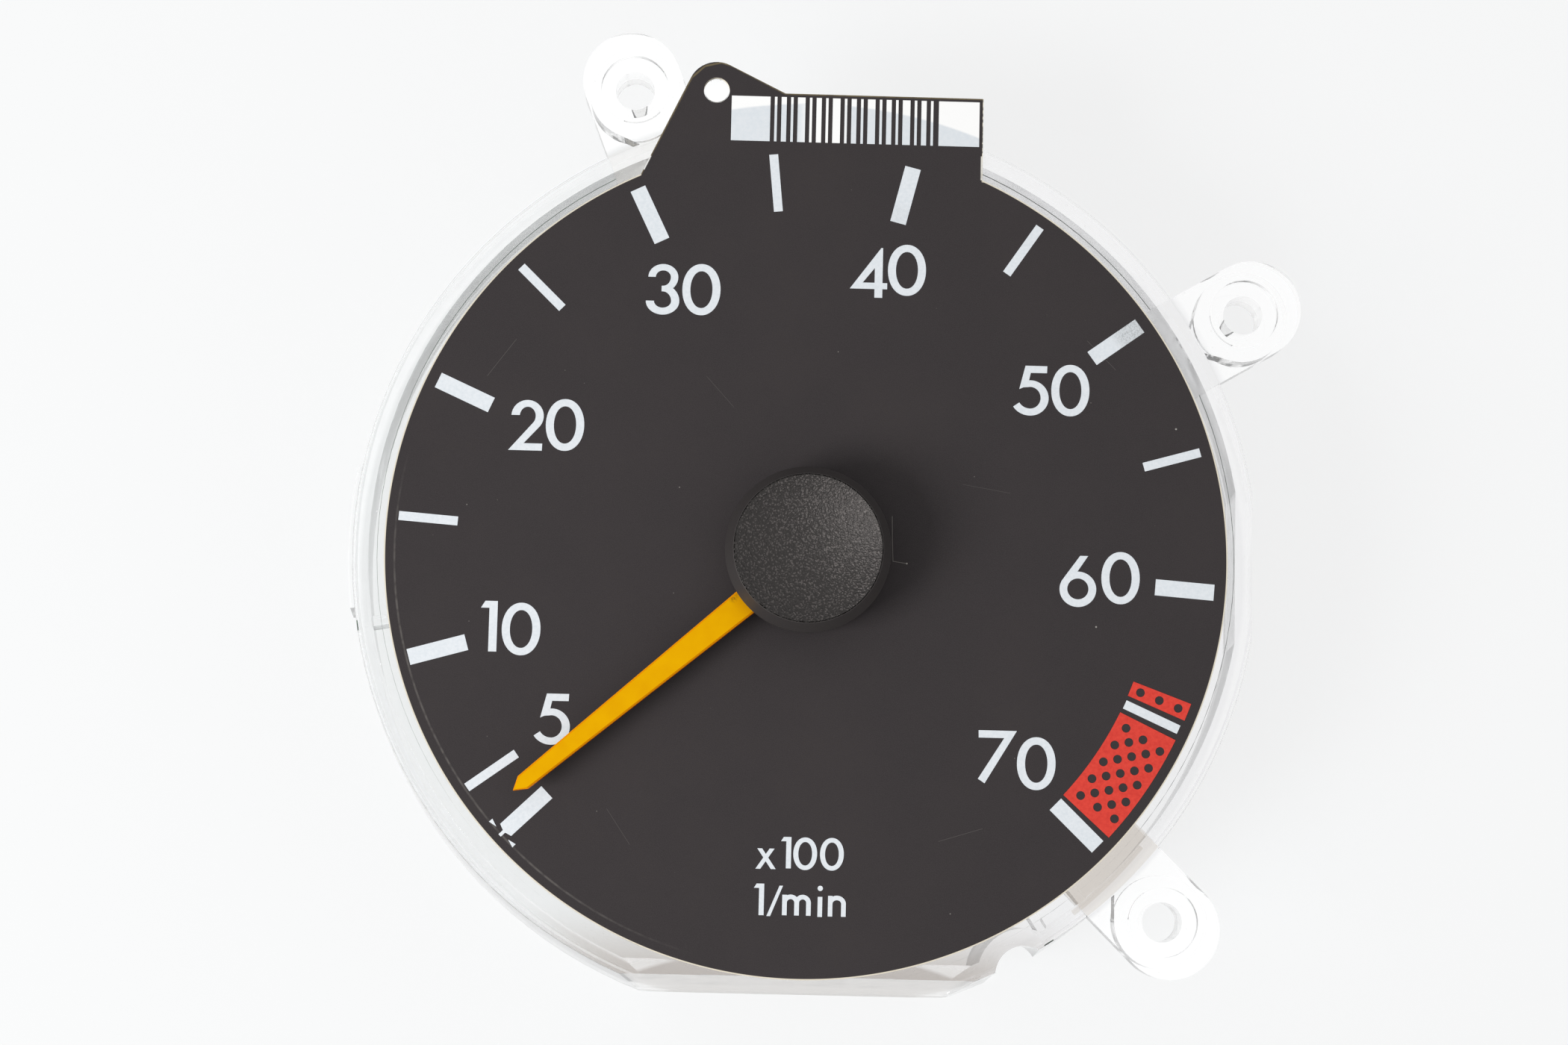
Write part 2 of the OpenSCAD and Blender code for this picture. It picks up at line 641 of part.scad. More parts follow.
module pointer_cap() color([0.1, 0.1, 0.1]) {
    steps = 10;
    land = 0.1;
    flank = [[cap_r, cap_wide], [cap_face_r, cap_top - land], [cap_face_r - land, cap_top]];
    dish = [for (k = [1:steps]) let (r = (cap_face_r - 2 * land) * (1 - k / steps))
        [r, cap_top - cap_dish + cap_dish * pow(r / cap_face_r, 2)]];
    boss_r = bush_r + 1.2;
    slot_w = blade_root_w + 0.5;
    at_rest() difference() {
        union() {
            difference() {
                rotate_extrude()
                    polygon(concat([[0, cap_low], [cap_r - cap_draft, cap_low]], flank, dish));
                translate([0, 0, cap_low - past])
                    cylinder(r = cap_inside_r, h = cap_roof_z - cap_low + past);
            }
            translate([0, 0, blade_z + blade_t])
                cylinder(r = boss_r, h = cap_roof_z - blade_z - blade_t + 0.2);
        }
        translate([0, 0, blade_z]) cylinder(r = bush_r + press_gap, h = bush_top_z - blade_z + 0.1);
        translate([boss_r + past, -slot_w / 2, cap_low - past])
            cube([cap_r, slot_w, blade_z + blade_t + 0.25 - cap_low + past]);
    }
}

module pointer_bush() color([0.8, 0.66, 0.34]) {
    difference() {
        union() {
            translate([0, 0, bush_low_z]) cylinder(r = bush_flange_r, h = bush_flange_t);
            translate([0, 0, bush_low_z]) cylinder(r = bush_r, h = bush_top_z - bush_low_z);
        }
        translate([0, 0, bush_low_z - past])
            cylinder(r = spindle_r + press_gap, h = spindle_top_z - bush_low_z + past);
    }
}

module spindle() color([0.72, 0.73, 0.75]) {
    cone_l = 0.9;
    edge = 0.15;
    rotate_extrude() polygon([[0, spindle_tip_z], [spindle_r / 3, spindle_tip_z],
        [spindle_r, spindle_tip_z + cone_l], [spindle_r, spindle_top_z - edge],
        [spindle_r - edge, spindle_top_z], [0, spindle_top_z]]);
}

module rotor_magnet() color([0.2, 0.2, 0.22]) {
    edge = 0.25;
    difference() {
        translate([0, 0, magnet_z]) rotate_extrude()
            polygon([[0, 0], [magnet_r - edge, 0], [magnet_r, edge], [magnet_r, magnet_t - edge],
                [magnet_r - edge, magnet_t], [0, magnet_t]]);
        translate([0, 0, magnet_z - past]) cylinder(r = spindle_r + press_gap, h = magnet_t + 2 * past);
    }
}

module stop_arm() color([0.82, 0.82, 0.78]) {
    at_rest() difference() {
        union() {
            translate([0, 0, stop_z]) cylinder(r = stop_hub_r, h = stop_t);
            translate([0, -stop_arm_w / 2, stop_z]) cube([stop_arm_l - stop_arm_w / 2, stop_arm_w, stop_t]);
            translate([stop_arm_l - stop_arm_w / 2, 0, stop_z]) cylinder(r = stop_arm_w / 2, h = stop_t);
        }
        translate([0, 0, stop_z - past]) cylinder(r = spindle_r + press_gap, h = stop_t + 2 * past);
    }
}

// The block in the cup that stops the arm at both ends of the pointer's travel
module stop_block() {
    side = 3 * cup_r;
    reach = stop_arm_w / 2 + stop_gap;
    difference() {
        tube(cup_in_r + root, stop_hub_r + 1.2, cup_floor_z - root, stop_block_top_z - cup_floor_z + root);
        rotate([0, 0, rest_angle + turn_back]) translate([-side / 2, reach - side, 0])
            cube([side, side, 3 * carrier_h]);
        rotate([0, 0, rest_angle - turn_up]) translate([-side / 2, -reach, 0])
            cube([side, side, 3 * carrier_h]);
    }
}

module movement_frame() color([0.16, 0.16, 0.17]) {
    difference() {
        union() {
            translate([0, 0, frame_z]) cylinder(r = frame_r, h = frame_t);
            for (a = frame_screw_angles) rotate([0, 0, a]) translate([0, 0, frame_z])
                linear_extrude(frame_t) union() {
                    translate([frame_r / 2, -frame_ear_r])
                        square([frame_screw_r - frame_r / 2, 2 * frame_ear_r]);
                    translate([frame_screw_r, 0]) circle(r = frame_ear_r);
                }
            difference() {
                translate([0, 0, frame_top_z - root])
                    cylinder(r = cup_r, h = cup_top_z - frame_top_z + root);
                translate([0, 0, cup_floor_z]) cylinder(r = cup_in_r, h = cup_top_z);
            }
            stop_block();
        }
        tube(can_r + press_gap, can_in_r - press_gap, frame_z - past, can_seat + past);
        translate([0, 0, frame_z - past])
            cylinder(r = bearing_r + press_gap, h = frame_t + cup_floor + 2 * past);
        for (a = frame_screw_angles) translate(concat(polar(frame_screw_r, a), frame_z - past))
            cylinder(r = frame_shank_r + hole_gap, h = frame_t + 2 * past);
        for (a = terminal_angles) translate(concat(polar(terminal_pitch_r, a), frame_z - past))
            cylinder(r = terminal_r + press_gap, h = frame_t * 0.6 + past);
    }
}

module upper_bearing() color([0.8, 0.66, 0.34]) {
    low = frame_z + 0.1;
    flange_t = 0.35;
    difference() {
        union() {
            translate([0, 0, low]) cylinder(r = bearing_r, h = cup_floor_z - low);
            translate([0, 0, cup_floor_z]) cylinder(r = bearing_r + 0.6, h = flange_t);
        }
        translate([0, 0, low - past])
            cylinder(r = spindle_r + run_gap, h = cup_floor_z - low + flange_t + 2 * past);
    }
}

module lower_bearing() color([0.8, 0.66, 0.34]) {
    low = can_t + 0.4;
    high = rotor_low_z - 0.3;
    pivot_z = spindle_tip_z - 0.05;
    difference() {
        translate([0, 0, low]) cylinder(r = lower_bearing_r, h = high - low);
        translate([0, 0, pivot_z]) cylinder(r = spindle_r + run_gap, h = high - pivot_z + past);
    }
}

module bobbin_body(z, h) {
    corner = 2;
    half = bobbin_half - corner;
    translate([0, 0, z]) linear_extrude(h) union() {
        square([2 * bobbin_half, 2 * half], center = true);
        square([2 * half, 2 * bobbin_half], center = true);
        for (sx = [-1, 1], sy = [-1, 1]) translate([sx * half, sy * half]) circle(r = corner);
    }
}

// Four posts at the corners, joined to the bobbin's wall at wall_z by ears a little thinner than it
module bobbin_posts(z, h, wall_z) {
    ear_w = 1;
    step = 0.1;
    reach = post_place * sqrt(2);
    for (a = [45:90:315]) rotate([0, 0, a]) {
        translate([reach, 0, z]) cylinder(r = bobbin_post_r, h = h);
        translate([bobbin_half, -ear_w / 2, wall_z + step])
            cube([reach - bobbin_half, ear_w, bobbin_t - 2 * step]);
    }
}

module upper_bobbin() color([0.85, 0.84, 0.78]) {
    top = frame_z;
    difference() {
        union() {
            bobbin_body(split_z, roof_z + bobbin_t - split_z);
            bobbin_posts(roof_z, top - roof_z, roof_z);
            translate([0, 0, roof_z]) cylinder(r = neck_r, h = top - roof_z);
        }
        translate([0, 0, split_z - past]) cylinder(r = rotor_space_r, h = roof_z - split_z + past);
        translate([0, 0, roof_z - past]) cylinder(r = spindle_r + inner_gap, h = top - roof_z + 2 * past);
    }
}

module lower_bobbin() color([0.85, 0.84, 0.78]) {
    low = can_t;
    difference() {
        union() {
            bobbin_body(floor_z, split_z - floor_z);
            bobbin_posts(low + can_fold / 2, rotor_low_z - low - can_fold / 2, floor_z);
            translate([0, 0, low]) cylinder(r = neck_r, h = floor_z - low + bobbin_t / 2);
        }
        translate([0, 0, rotor_low_z]) cylinder(r = rotor_space_r, h = split_z - rotor_low_z + past);
        translate([0, 0, low - past])
            cylinder(r = lower_bearing_r + press_gap, h = rotor_low_z - low + 2 * past);
    }
}

// One half of a winding: a flat ring wound over the bobbins, layer 0 inside and 1 outside
module coil_half(layer, place) {
    inner = bobbin_half + 0.1 + layer * coil_layer;
    low = floor_z - 0.1 - layer * coil_layer;
    high = roof_z + bobbin_t + 0.1 + layer * coil_layer;
    translate([place - coil_w / 2, 0, 0]) difference() {
        translate([0, -inner - coil_t, low - coil_t])
            cube([coil_w, 2 * (inner + coil_t), high - low + 2 * coil_t]);
        translate([-past, -inner, low]) cube([coil_w + 2 * past, 2 * inner, high - low]);
    }
}

module coil(layer) {
    place = (coil_split + coil_w) / 2;
    coil_half(layer, place);
    coil_half(layer, -place);
}

module inner_coil() color([0.72, 0.4, 0.2]) {
    coil(0);
}

module outer_coil() color([0.72, 0.4, 0.2]) {
    rotate([0, 0, 90]) coil(1);
}

module screening_can() color([0.7, 0.7, 0.71]) {
    rotate_extrude() polygon([[0, 0], [can_r - can_fold, 0],
        [can_r - can_fold * 0.3, can_fold * 0.3], [can_r, can_fold], [can_r, can_h],
        [can_in_r, can_h], [can_in_r, can_t + can_fold * 0.5],
        [can_in_r - can_fold * 0.5, can_t], [0, can_t]]);
}

module terminal_pins() color([0.78, 0.74, 0.6]) {
    low = board_z - 1.1;
    for (a = terminal_angles) translate(concat(polar(terminal_pitch_r, a), low))
        cylinder(r = terminal_r, h = frame_z + frame_t * 0.6 - low, $fn = 32);
}

// A cross-head screw that is driven from behind, with its head below z
module rear_screw(shank_r, head_r, length, z) {
    slot_w = head_r * 0.28;
    slot_d = head_h * 0.5;
    translate([0, 0, z]) {
        difference() {
            rotate_extrude() polygon([[0, 0], [head_r, 0], [head_r, -head_h * 0.45],
                [head_r * 0.85, -head_h * 0.85], [head_r * 0.55, -head_h], [0, -head_h]]);
            for (a = [0, 90]) rotate([0, 0, a])
                translate([-head_r * 0.6, -slot_w / 2, -head_h - past])
                    cube([head_r * 1.2, slot_w, slot_d + past]);
        }
        rotate_extrude() polygon([[0, -0.1], [shank_r, -0.1], [shank_r, length - shank_r * 0.8],
            [shank_r * 0.4, length - 0.1], [0, length - 0.1]]);
    }
}

module movement_screws() color([0.72, 0.72, 0.7]) {
    for (a = frame_screw_angles) translate(polar(frame_screw_r, a))
        rear_screw(frame_shank_r, frame_head_r, frame_screw_l, frame_z);
}

module board_screws() color([0.72, 0.72, 0.7]) {
    for (a = board_screw_angles) translate(polar(board_screw_r, a))
        rear_screw(board_shank_r, board_head_r, board_screw_l, board_z);
}

module circuit_board() color([0.16, 0.36, 0.2]) {
    difference() {
        translate([0, 0, board_z]) cylinder(r = board_r, h = board_t);
        flat_space(270, foot_flat_back, foot_flat_front, wall_t + board_edge_gap);
        translate([0, 0, board_z - past]) cylinder(r = board_hole_r, h = board_t + 2 * past);
        translate(concat(polar(scoop_pitch_r, scoop_angle), board_z - past))
            cylinder(r = scoop_r + wall_t + board_edge_gap / 2, h = board_t + 2 * past);
        for (a = board_screw_angles) translate(concat(polar(board_screw_r, a), board_z - past))
            cylinder(r = board_shank_r + hole_gap, h = board_t + 2 * past);
        for (a = terminal_angles) translate(concat(polar(terminal_pitch_r, a), board_z - past))
            cylinder(r = terminal_r + hole_gap, h = board_t + 2 * past);
        for (x = plug_xs) translate([x, plug_y, board_z - past])
            cylinder(r = plug_pin_r + hole_gap, h = board_t + 2 * past);
    }
}

module place_each(places) {
    for (p = places) translate([p[0] * spread, p[1] * spread, board_z]) rotate([0, 0, p[2]]) children();
}

// A wire that runs out along X for a distance run, bends and rises to the board
module bent_wire(run, rise) {
    bend = 2 * wire_r;
    translate([0, 0, -rise]) {
        rotate([0, 90, 0]) cylinder(r = wire_r, h = run - bend, $fn = 24);
        translate([run - bend, 0, bend]) rotate([90, 0, 0]) rotate([0, 0, -90])
            rotate_extrude(angle = 90, $fn = 24) translate([bend, 0]) circle(r = wire_r, $fn = 24);
        translate([run, 0, bend]) cylinder(r = wire_r, h = rise - bend, $fn = 24);
    }
}

// The two bent wires of a body that lies along X below the board
module axial_wires(length, axis_drop) {
    start = length / 2 - 0.4;
    for (turn = [0, 180]) rotate([0, 0, turn]) translate([start, 0, 0]) bent_wire(wire_run, axis_drop);
}

module driver_chip() color([0.14, 0.14, 0.15]) {
    leg_w = 0.5;
    leg_t = 0.28;
    splay = 0.75;
    top = -standoff;
    leg_z = top - chip_h / 2 - leg_t / 2;
    slope = 0.35;
    place_each([chip_place]) {
        difference() {
            translate([0, 0, top - chip_h]) rotate([90, 0, 90]) translate([0, 0, -chip_l / 2])
                linear_extrude(chip_l) polygon([[-chip_w / 2 + slope, 0], [chip_w / 2 - slope, 0],
                    [chip_w / 2, chip_h / 2], [chip_w / 2 - slope, chip_h], [-chip_w / 2 + slope, chip_h],
                    [-chip_w / 2, chip_h / 2]]);
            translate([chip_l / 2, 0, top - chip_h - past]) cylinder(r = 1, h = past + 0.5, $fn = 32);
        }
        for (k = [0:chip_legs - 1], s = [-1, 1])
            translate([(k - (chip_legs - 1) / 2) * chip_pitch - leg_w / 2, 0, 0]) {
                translate([0, s > 0 ? chip_w / 2 - 0.3 : -chip_w / 2 - splay, leg_z])
                    cube([leg_w, splay + 0.3, leg_t]);
                translate([0, s > 0 ? chip_w / 2 + splay - leg_t : -chip_w / 2 - splay, leg_z])
                    cube([leg_w, leg_t, -leg_z]);
            }
    }
}

module electrolytic_capacitors() color([0.12, 0.16, 0.3]) {
    groove = 0.3;
    bead_x = 1.9;
    bead_half = 0.5;
    lead_y = 1.2;
    place_each(can_cap_places) {
        translate([0, 0, -standoff - can_cap_r]) rotate([0, 90, 0]) translate([0, 0, -can_cap_l / 2])
            rotate_extrude() polygon([[0, 0], [can_cap_r - groove, 0], [can_cap_r, groove],
                [can_cap_r, bead_x - bead_half], [can_cap_r - groove, bead_x],
                [can_cap_r, bead_x + bead_half],
                [can_cap_r, can_cap_l - groove], [can_cap_r - groove, can_cap_l], [0, can_cap_l]]);
        for (s = [-1, 1]) rotate([0, 0, 180]) translate([can_cap_l / 2 - 0.4, s * lead_y, 0])
            bent_wire(wire_run, standoff + can_cap_r);
    }
}

module film_capacitors() color([0.75, 0.5, 0.16]) {
    corner = 0.5;
    place_each(film_places) {
        translate([0, 0, -standoff - film_h]) linear_extrude(film_h)
            polygon([[-film_l / 2 + corner, -film_w / 2], [film_l / 2 - corner, -film_w / 2],
                [film_l / 2, -film_w / 2 + corner], [film_l / 2, film_w / 2 - corner],
                [film_l / 2 - corner, film_w / 2], [-film_l / 2 + corner, film_w / 2],
                [-film_l / 2, film_w / 2 - corner], [-film_l / 2, -film_w / 2 + corner]]);
        for (s = [-1, 1]) translate([s * film_l * 0.35, 0, -standoff - 0.3])
            cylinder(r = wire_r, h = standoff + 0.3, $fn = 24);
    }
}

module resistor_body(r, length) {
    cap_l = length * 0.22;
    waist_r = r * 0.84;
    rotate([0, 90, 0]) translate([0, 0, -length / 2]) rotate_extrude()
        polygon([[0, 0], [r * 0.6, 0], [r, r * 0.35], [r, cap_l], [waist_r, cap_l + r * 0.3],
            [waist_r, length - cap_l - r * 0.3], [r, length - cap_l], [r, length - r * 0.35],
            [r * 0.6, length], [0, length]]);
}

module resistors() color([0.72, 0.58, 0.4]) {
    place_each(resistor_places) {
        translate([0, 0, -standoff - resistor_r]) resistor_body(resistor_r, resistor_l);
        axial_wires(resistor_l, standoff + resistor_r);
    }
}

module power_resistor() color([0.45, 0.5, 0.42]) {
    place_each([power_place]) {
        translate([0, 0, -standoff - 2 * resistor_r])
            resistor_body(2 * resistor_r * 0.95, 1.8 * resistor_l);
        axial_wires(1.8 * resistor_l, standoff + 2 * resistor_r);
    }
}

module diodes() color([0.2, 0.2, 0.2]) {
    diode_r = resistor_r * 1.1;
    diode_l = resistor_l * 0.72;
    place_each(diode_places) {
        translate([-diode_l / 2, 0, -standoff - diode_r]) rotate([0, 90, 0]) rotate_extrude()
            polygon([[0, 0], [diode_r * 0.8, 0], [diode_r, diode_r * 0.2],
                [diode_r, diode_l - diode_r * 0.2], [diode_r * 0.8, diode_l], [0, diode_l]]);
        axial_wires(diode_l, standoff + diode_r);
    }
}

module trimmer_body() color([0.15, 0.3, 0.6]) {
    corner = 0.8;
    half = trimmer_w / 2;
    place_each([trimmer_place]) {
        difference() {
            translate([0, 0, -trimmer_h]) linear_extrude(trimmer_h)
                polygon([[-half + corner, -half], [half - corner, -half], [half, -half + corner],
                    [half, half - corner], [half - corner, half], [-half + corner, half],
                    [-half, half - corner], [-half, -half + corner]]);
            translate([0, 0, -trimmer_h - past])
                cylinder(r = trimmer_rotor_r + run_gap, h = trimmer_recess + past);
        }
    }
}

module trimmer_rotor() color([0.88, 0.86, 0.8]) {
    rise = 0.35;
    slot_w = 0.7;
    place_each([trimmer_place]) difference() {
        translate([0, 0, -trimmer_h - rise])
            cylinder(r = trimmer_rotor_r, h = trimmer_recess + rise - 0.02);
        translate([-trimmer_rotor_r * 0.75, -slot_w / 2, -trimmer_h - rise - past])
            cube([trimmer_rotor_r * 1.5, slot_w, past + 0.8]);
        translate([-slot_w / 2, 0, -trimmer_h - rise - past])
            cube([slot_w, trimmer_rotor_r * 0.75, past + 0.8]);
    }
}

module plug_base() color([0.1, 0.1, 0.1]) {
    length = plug_pitch * plug_pins;
    notch = 0.8;
    difference() {
        translate([-length / 2, plug_y - plug_base_w / 2, board_z - plug_base_h])
            cube([length, plug_base_w, plug_base_h]);
        for (x = plug_xs) translate([x, plug_y, board_z - plug_base_h - past])
            cylinder(r = plug_pin_r + press_gap, h = plug_base_h + 2 * past);
        for (x = plug_xs, s = [-1, 1]) translate([x + plug_pitch / 2 - notch / 2,
            plug_y + s * plug_base_w / 2 - notch / 2, board_z - plug_base_h - past])
            cube([notch, notch, plug_base_h + 2 * past]);
    }
}

module plug_contacts() color([0.8, 0.66, 0.34]) {
    tip = 0.3;
    for (x = plug_xs) translate([x, plug_y, 0]) rotate_extrude($fn = 32)
        polygon([[0, tip], [plug_pin_r * 0.5, tip], [plug_pin_r, tip + 0.7],
            [plug_pin_r, board_top_z + 0.9], [plug_pin_r * 0.7, board_top_z + 1.2],
            [0, board_top_z + 1.2]]);
}

carrier();
dial_plate();
scale_marks();
red_band();
pointer_blade();
pointer_cap();
pointer_bush();
balance_weight();
spindle();
rotor_magnet();
stop_arm();
movement_frame();
upper_bearing();
lower_bearing();
upper_bobbin();
lower_bobbin();
inner_coil();
outer_coil();
screening_can();
terminal_pins();
movement_screws();
circuit_board();
board_screws();
driver_chip();
electrolytic_capacitors();
film_capacitors();
resistors();
power_resistor();
diodes();
trimmer_body();
trimmer_rotor();
plug_base();
plug_contacts();
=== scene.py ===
"""Looks of the car tachometer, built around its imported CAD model."""
import math

import bmesh
import bpy
from mathutils import Matrix, Vector
from mathutils.geometry import tessellate_polygon


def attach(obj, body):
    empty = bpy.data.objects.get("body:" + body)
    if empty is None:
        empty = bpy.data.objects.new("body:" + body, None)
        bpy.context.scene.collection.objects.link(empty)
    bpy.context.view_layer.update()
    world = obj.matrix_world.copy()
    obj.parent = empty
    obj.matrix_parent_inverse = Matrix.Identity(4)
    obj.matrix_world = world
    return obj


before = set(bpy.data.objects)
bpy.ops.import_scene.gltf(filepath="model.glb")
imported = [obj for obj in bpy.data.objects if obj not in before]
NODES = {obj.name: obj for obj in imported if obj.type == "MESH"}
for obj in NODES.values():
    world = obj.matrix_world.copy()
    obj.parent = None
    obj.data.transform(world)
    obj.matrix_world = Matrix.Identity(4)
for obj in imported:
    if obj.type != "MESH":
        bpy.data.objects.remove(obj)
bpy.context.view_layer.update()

# Lengths in this file are in millimetres unless a comment says otherwise.
MM = 0.001
DIAL_R = 50.0
DIAL_TOP = 20.8
PRINT_T = 0.04
BOARD_REAR = 6.4
WHITE = (1, 1, 1, 1)
CORNERS = ((-1, -1), (1, -1), (1, 1), (-1, 1))


# Node helpers

def plug(tree, socket, value):
    """Links a socket to value where that is a socket too, and else sets it to value."""
    if isinstance(value, bpy.types.NodeSocket):
        tree.links.new(value, socket)
    else:
        socket.default_value = value


def math_node(tree, operation, a, b):
    made = tree.nodes.new("ShaderNodeMath")
    made.operation = operation
    plug(tree, made.inputs[0], a)
    plug(tree, made.inputs[1], b)
    return made.outputs[0]


def polar(radius, angle):
    """The point at a radius, and at an angle in degrees."""
    a = math.radians(angle)
    return radius * math.cos(a), radius * math.sin(a)


def ray_mask(tree, *rays):
    """1 for the kinds of ray that are named, and 0 for every other kind."""
    path = tree.nodes.new("ShaderNodeLightPath")
    mask = path.outputs[rays[0]]
    for ray in rays[1:]:
        mask = math_node(tree, "MAXIMUM", mask, path.outputs[ray])
    return mask


# Camera, floor and light

# The camera's place and directions come from its fit to the dial's edge and marks
CAMERA_PLACE = (-9.78, -40.49, 389.95)
CAMERA_LOOK = (0.01876, 0.11886, -0.99273)
CAMERA_UP = (-0.02544, 0.99264, 0.11837)
CAMERA_LENS, CAMERA_SENSOR, CAMERA_NEAR = 72, 36, 10
LAMP_PLACE, LAMP_TARGET = (-560, -238, 450), (0, 0, 15)
LAMP_SIZE, LAMP_WATTS = 320, 4.5
# Strength of the white world as light on the object, and where it is seen
WORLD_LIGHT, WORLD_SEEN = 0.58, 1.0
# How much the floor glows where it is seen, and through clear plastic
FLOOR_GLOW, FLOOR_GLOW_THROUGH = 0.80, 0.95
FLOOR_COLOUR = (0.13, 0.136, 0.138, 1)
FLOOR_HALF, FLOOR_DROP = 1500, 0.02


def make_camera():
    """The photograph's view."""
    look = Vector(CAMERA_LOOK)
    right = look.cross(Vector(CAMERA_UP)).normalized()
    data = bpy.data.cameras.new("camera")
    data.lens = CAMERA_LENS
    data.sensor_width = CAMERA_SENSOR
    data.clip_start = CAMERA_NEAR * MM
    camera = bpy.data.objects.new("camera", data)
    turn = Matrix((right, right.cross(look).normalized(), -look)).transposed()
    camera.matrix_world = Matrix.Translation(Vector(CAMERA_PLACE) * MM) @ turn.to_4x4()
    bpy.context.scene.collection.objects.link(camera)
    bpy.context.scene.camera = camera


def make_lamp():
    """One square lamp at the left, turned to the object."""
    data = bpy.data.lights.new("key", "AREA")
    data.shape = "SQUARE"
    data.size = LAMP_SIZE * MM
    data.energy = LAMP_WATTS
    lamp = bpy.data.objects.new("key", data)
    aim = Vector(LAMP_TARGET) - Vector(LAMP_PLACE)
    lamp.matrix_world = (Matrix.Translation(Vector(LAMP_PLACE) * MM)
                         @ aim.to_track_quat("-Z", "Y").to_matrix().to_4x4())
    bpy.context.scene.collection.objects.link(lamp)


def make_world():
    """An even white world, with a strength of its own where it is seen."""
    world = bpy.data.worlds.new("studio")
    world.use_nodes = True
    bpy.context.scene.world = world
    tree = world.node_tree
    light = tree.nodes["Background"]
    seen = tree.nodes.new("ShaderNodeBackground")
    for background, strength in ((light, WORLD_LIGHT), (seen, WORLD_SEEN)):
        background.inputs["Color"].default_value = WHITE
        background.inputs["Strength"].default_value = strength
    mix = tree.nodes.new("ShaderNodeMixShader")
    mask = ray_mask(tree, "Is Camera Ray", "Is Glossy Ray", "Is Transmission Ray")
    plug(tree, mix.inputs["Fac"], mask)
    plug(tree, mix.inputs[1], light.outputs[0])
    plug(tree, mix.inputs[2], seen.outputs[0])
    plug(tree, tree.nodes["World Output"].inputs["Surface"], mix.outputs[0])


def make_floor():
    """A floor in the plane that the back rests on, which glows white where it is seen."""
    half, z = FLOOR_HALF * MM, -FLOOR_DROP * MM
    mesh = bpy.data.meshes.new("floor")
    mesh.from_pydata([(x * half, y * half, z) for x, y in CORNERS], [], [(0, 1, 2, 3)])
    floor = bpy.data.objects.new("floor", mesh)
    bpy.context.scene.collection.objects.link(floor)
    material = bpy.data.materials.new("floor")
    material.use_nodes = True
    tree = material.node_tree
    base = tree.nodes["Principled BSDF"]
    base.inputs["Base Color"].default_value = FLOOR_COLOUR
    base.inputs["Roughness"].default_value = 0.9
    base.inputs["Specular IOR Level"].default_value = 0.1
    glow = tree.nodes.new("ShaderNodeEmission")
    glow.inputs["Color"].default_value = WHITE
    straight = math_node(tree, "MULTIPLY", ray_mask(tree, "Is Camera Ray", "Is Glossy Ray"), FLOOR_GLOW)
    through = math_node(tree, "MULTIPLY", ray_mask(tree, "Is Transmission Ray"), FLOOR_GLOW_THROUGH)
    plug(tree, glow.inputs["Strength"], math_node(tree, "MAXIMUM", straight, through))
    add = tree.nodes.new("ShaderNodeAddShader")
    plug(tree, add.inputs[0], base.outputs[0])
    plug(tree, add.inputs[1], glow.outputs[0])
    plug(tree, tree.nodes["Material Output"].inputs["Surface"], add.outputs[0])
    mesh.materials.append(material)


# Materials

# Length of one wave of Blender's wave texture at scale 1, in its own units
WAVE_LENGTH = 0.314
COPPER = (196, 112, 62)


def srgb(colour):
    """Linear RGBA from a colour given in 0 to 255 as a screen shows it."""
    out = []
    for value in colour:
        value /= 255
        out.append(value / 12.92 if value <= 0.04045 else ((value + 0.055) / 1.055) ** 2.4)
    return (*out, 1)


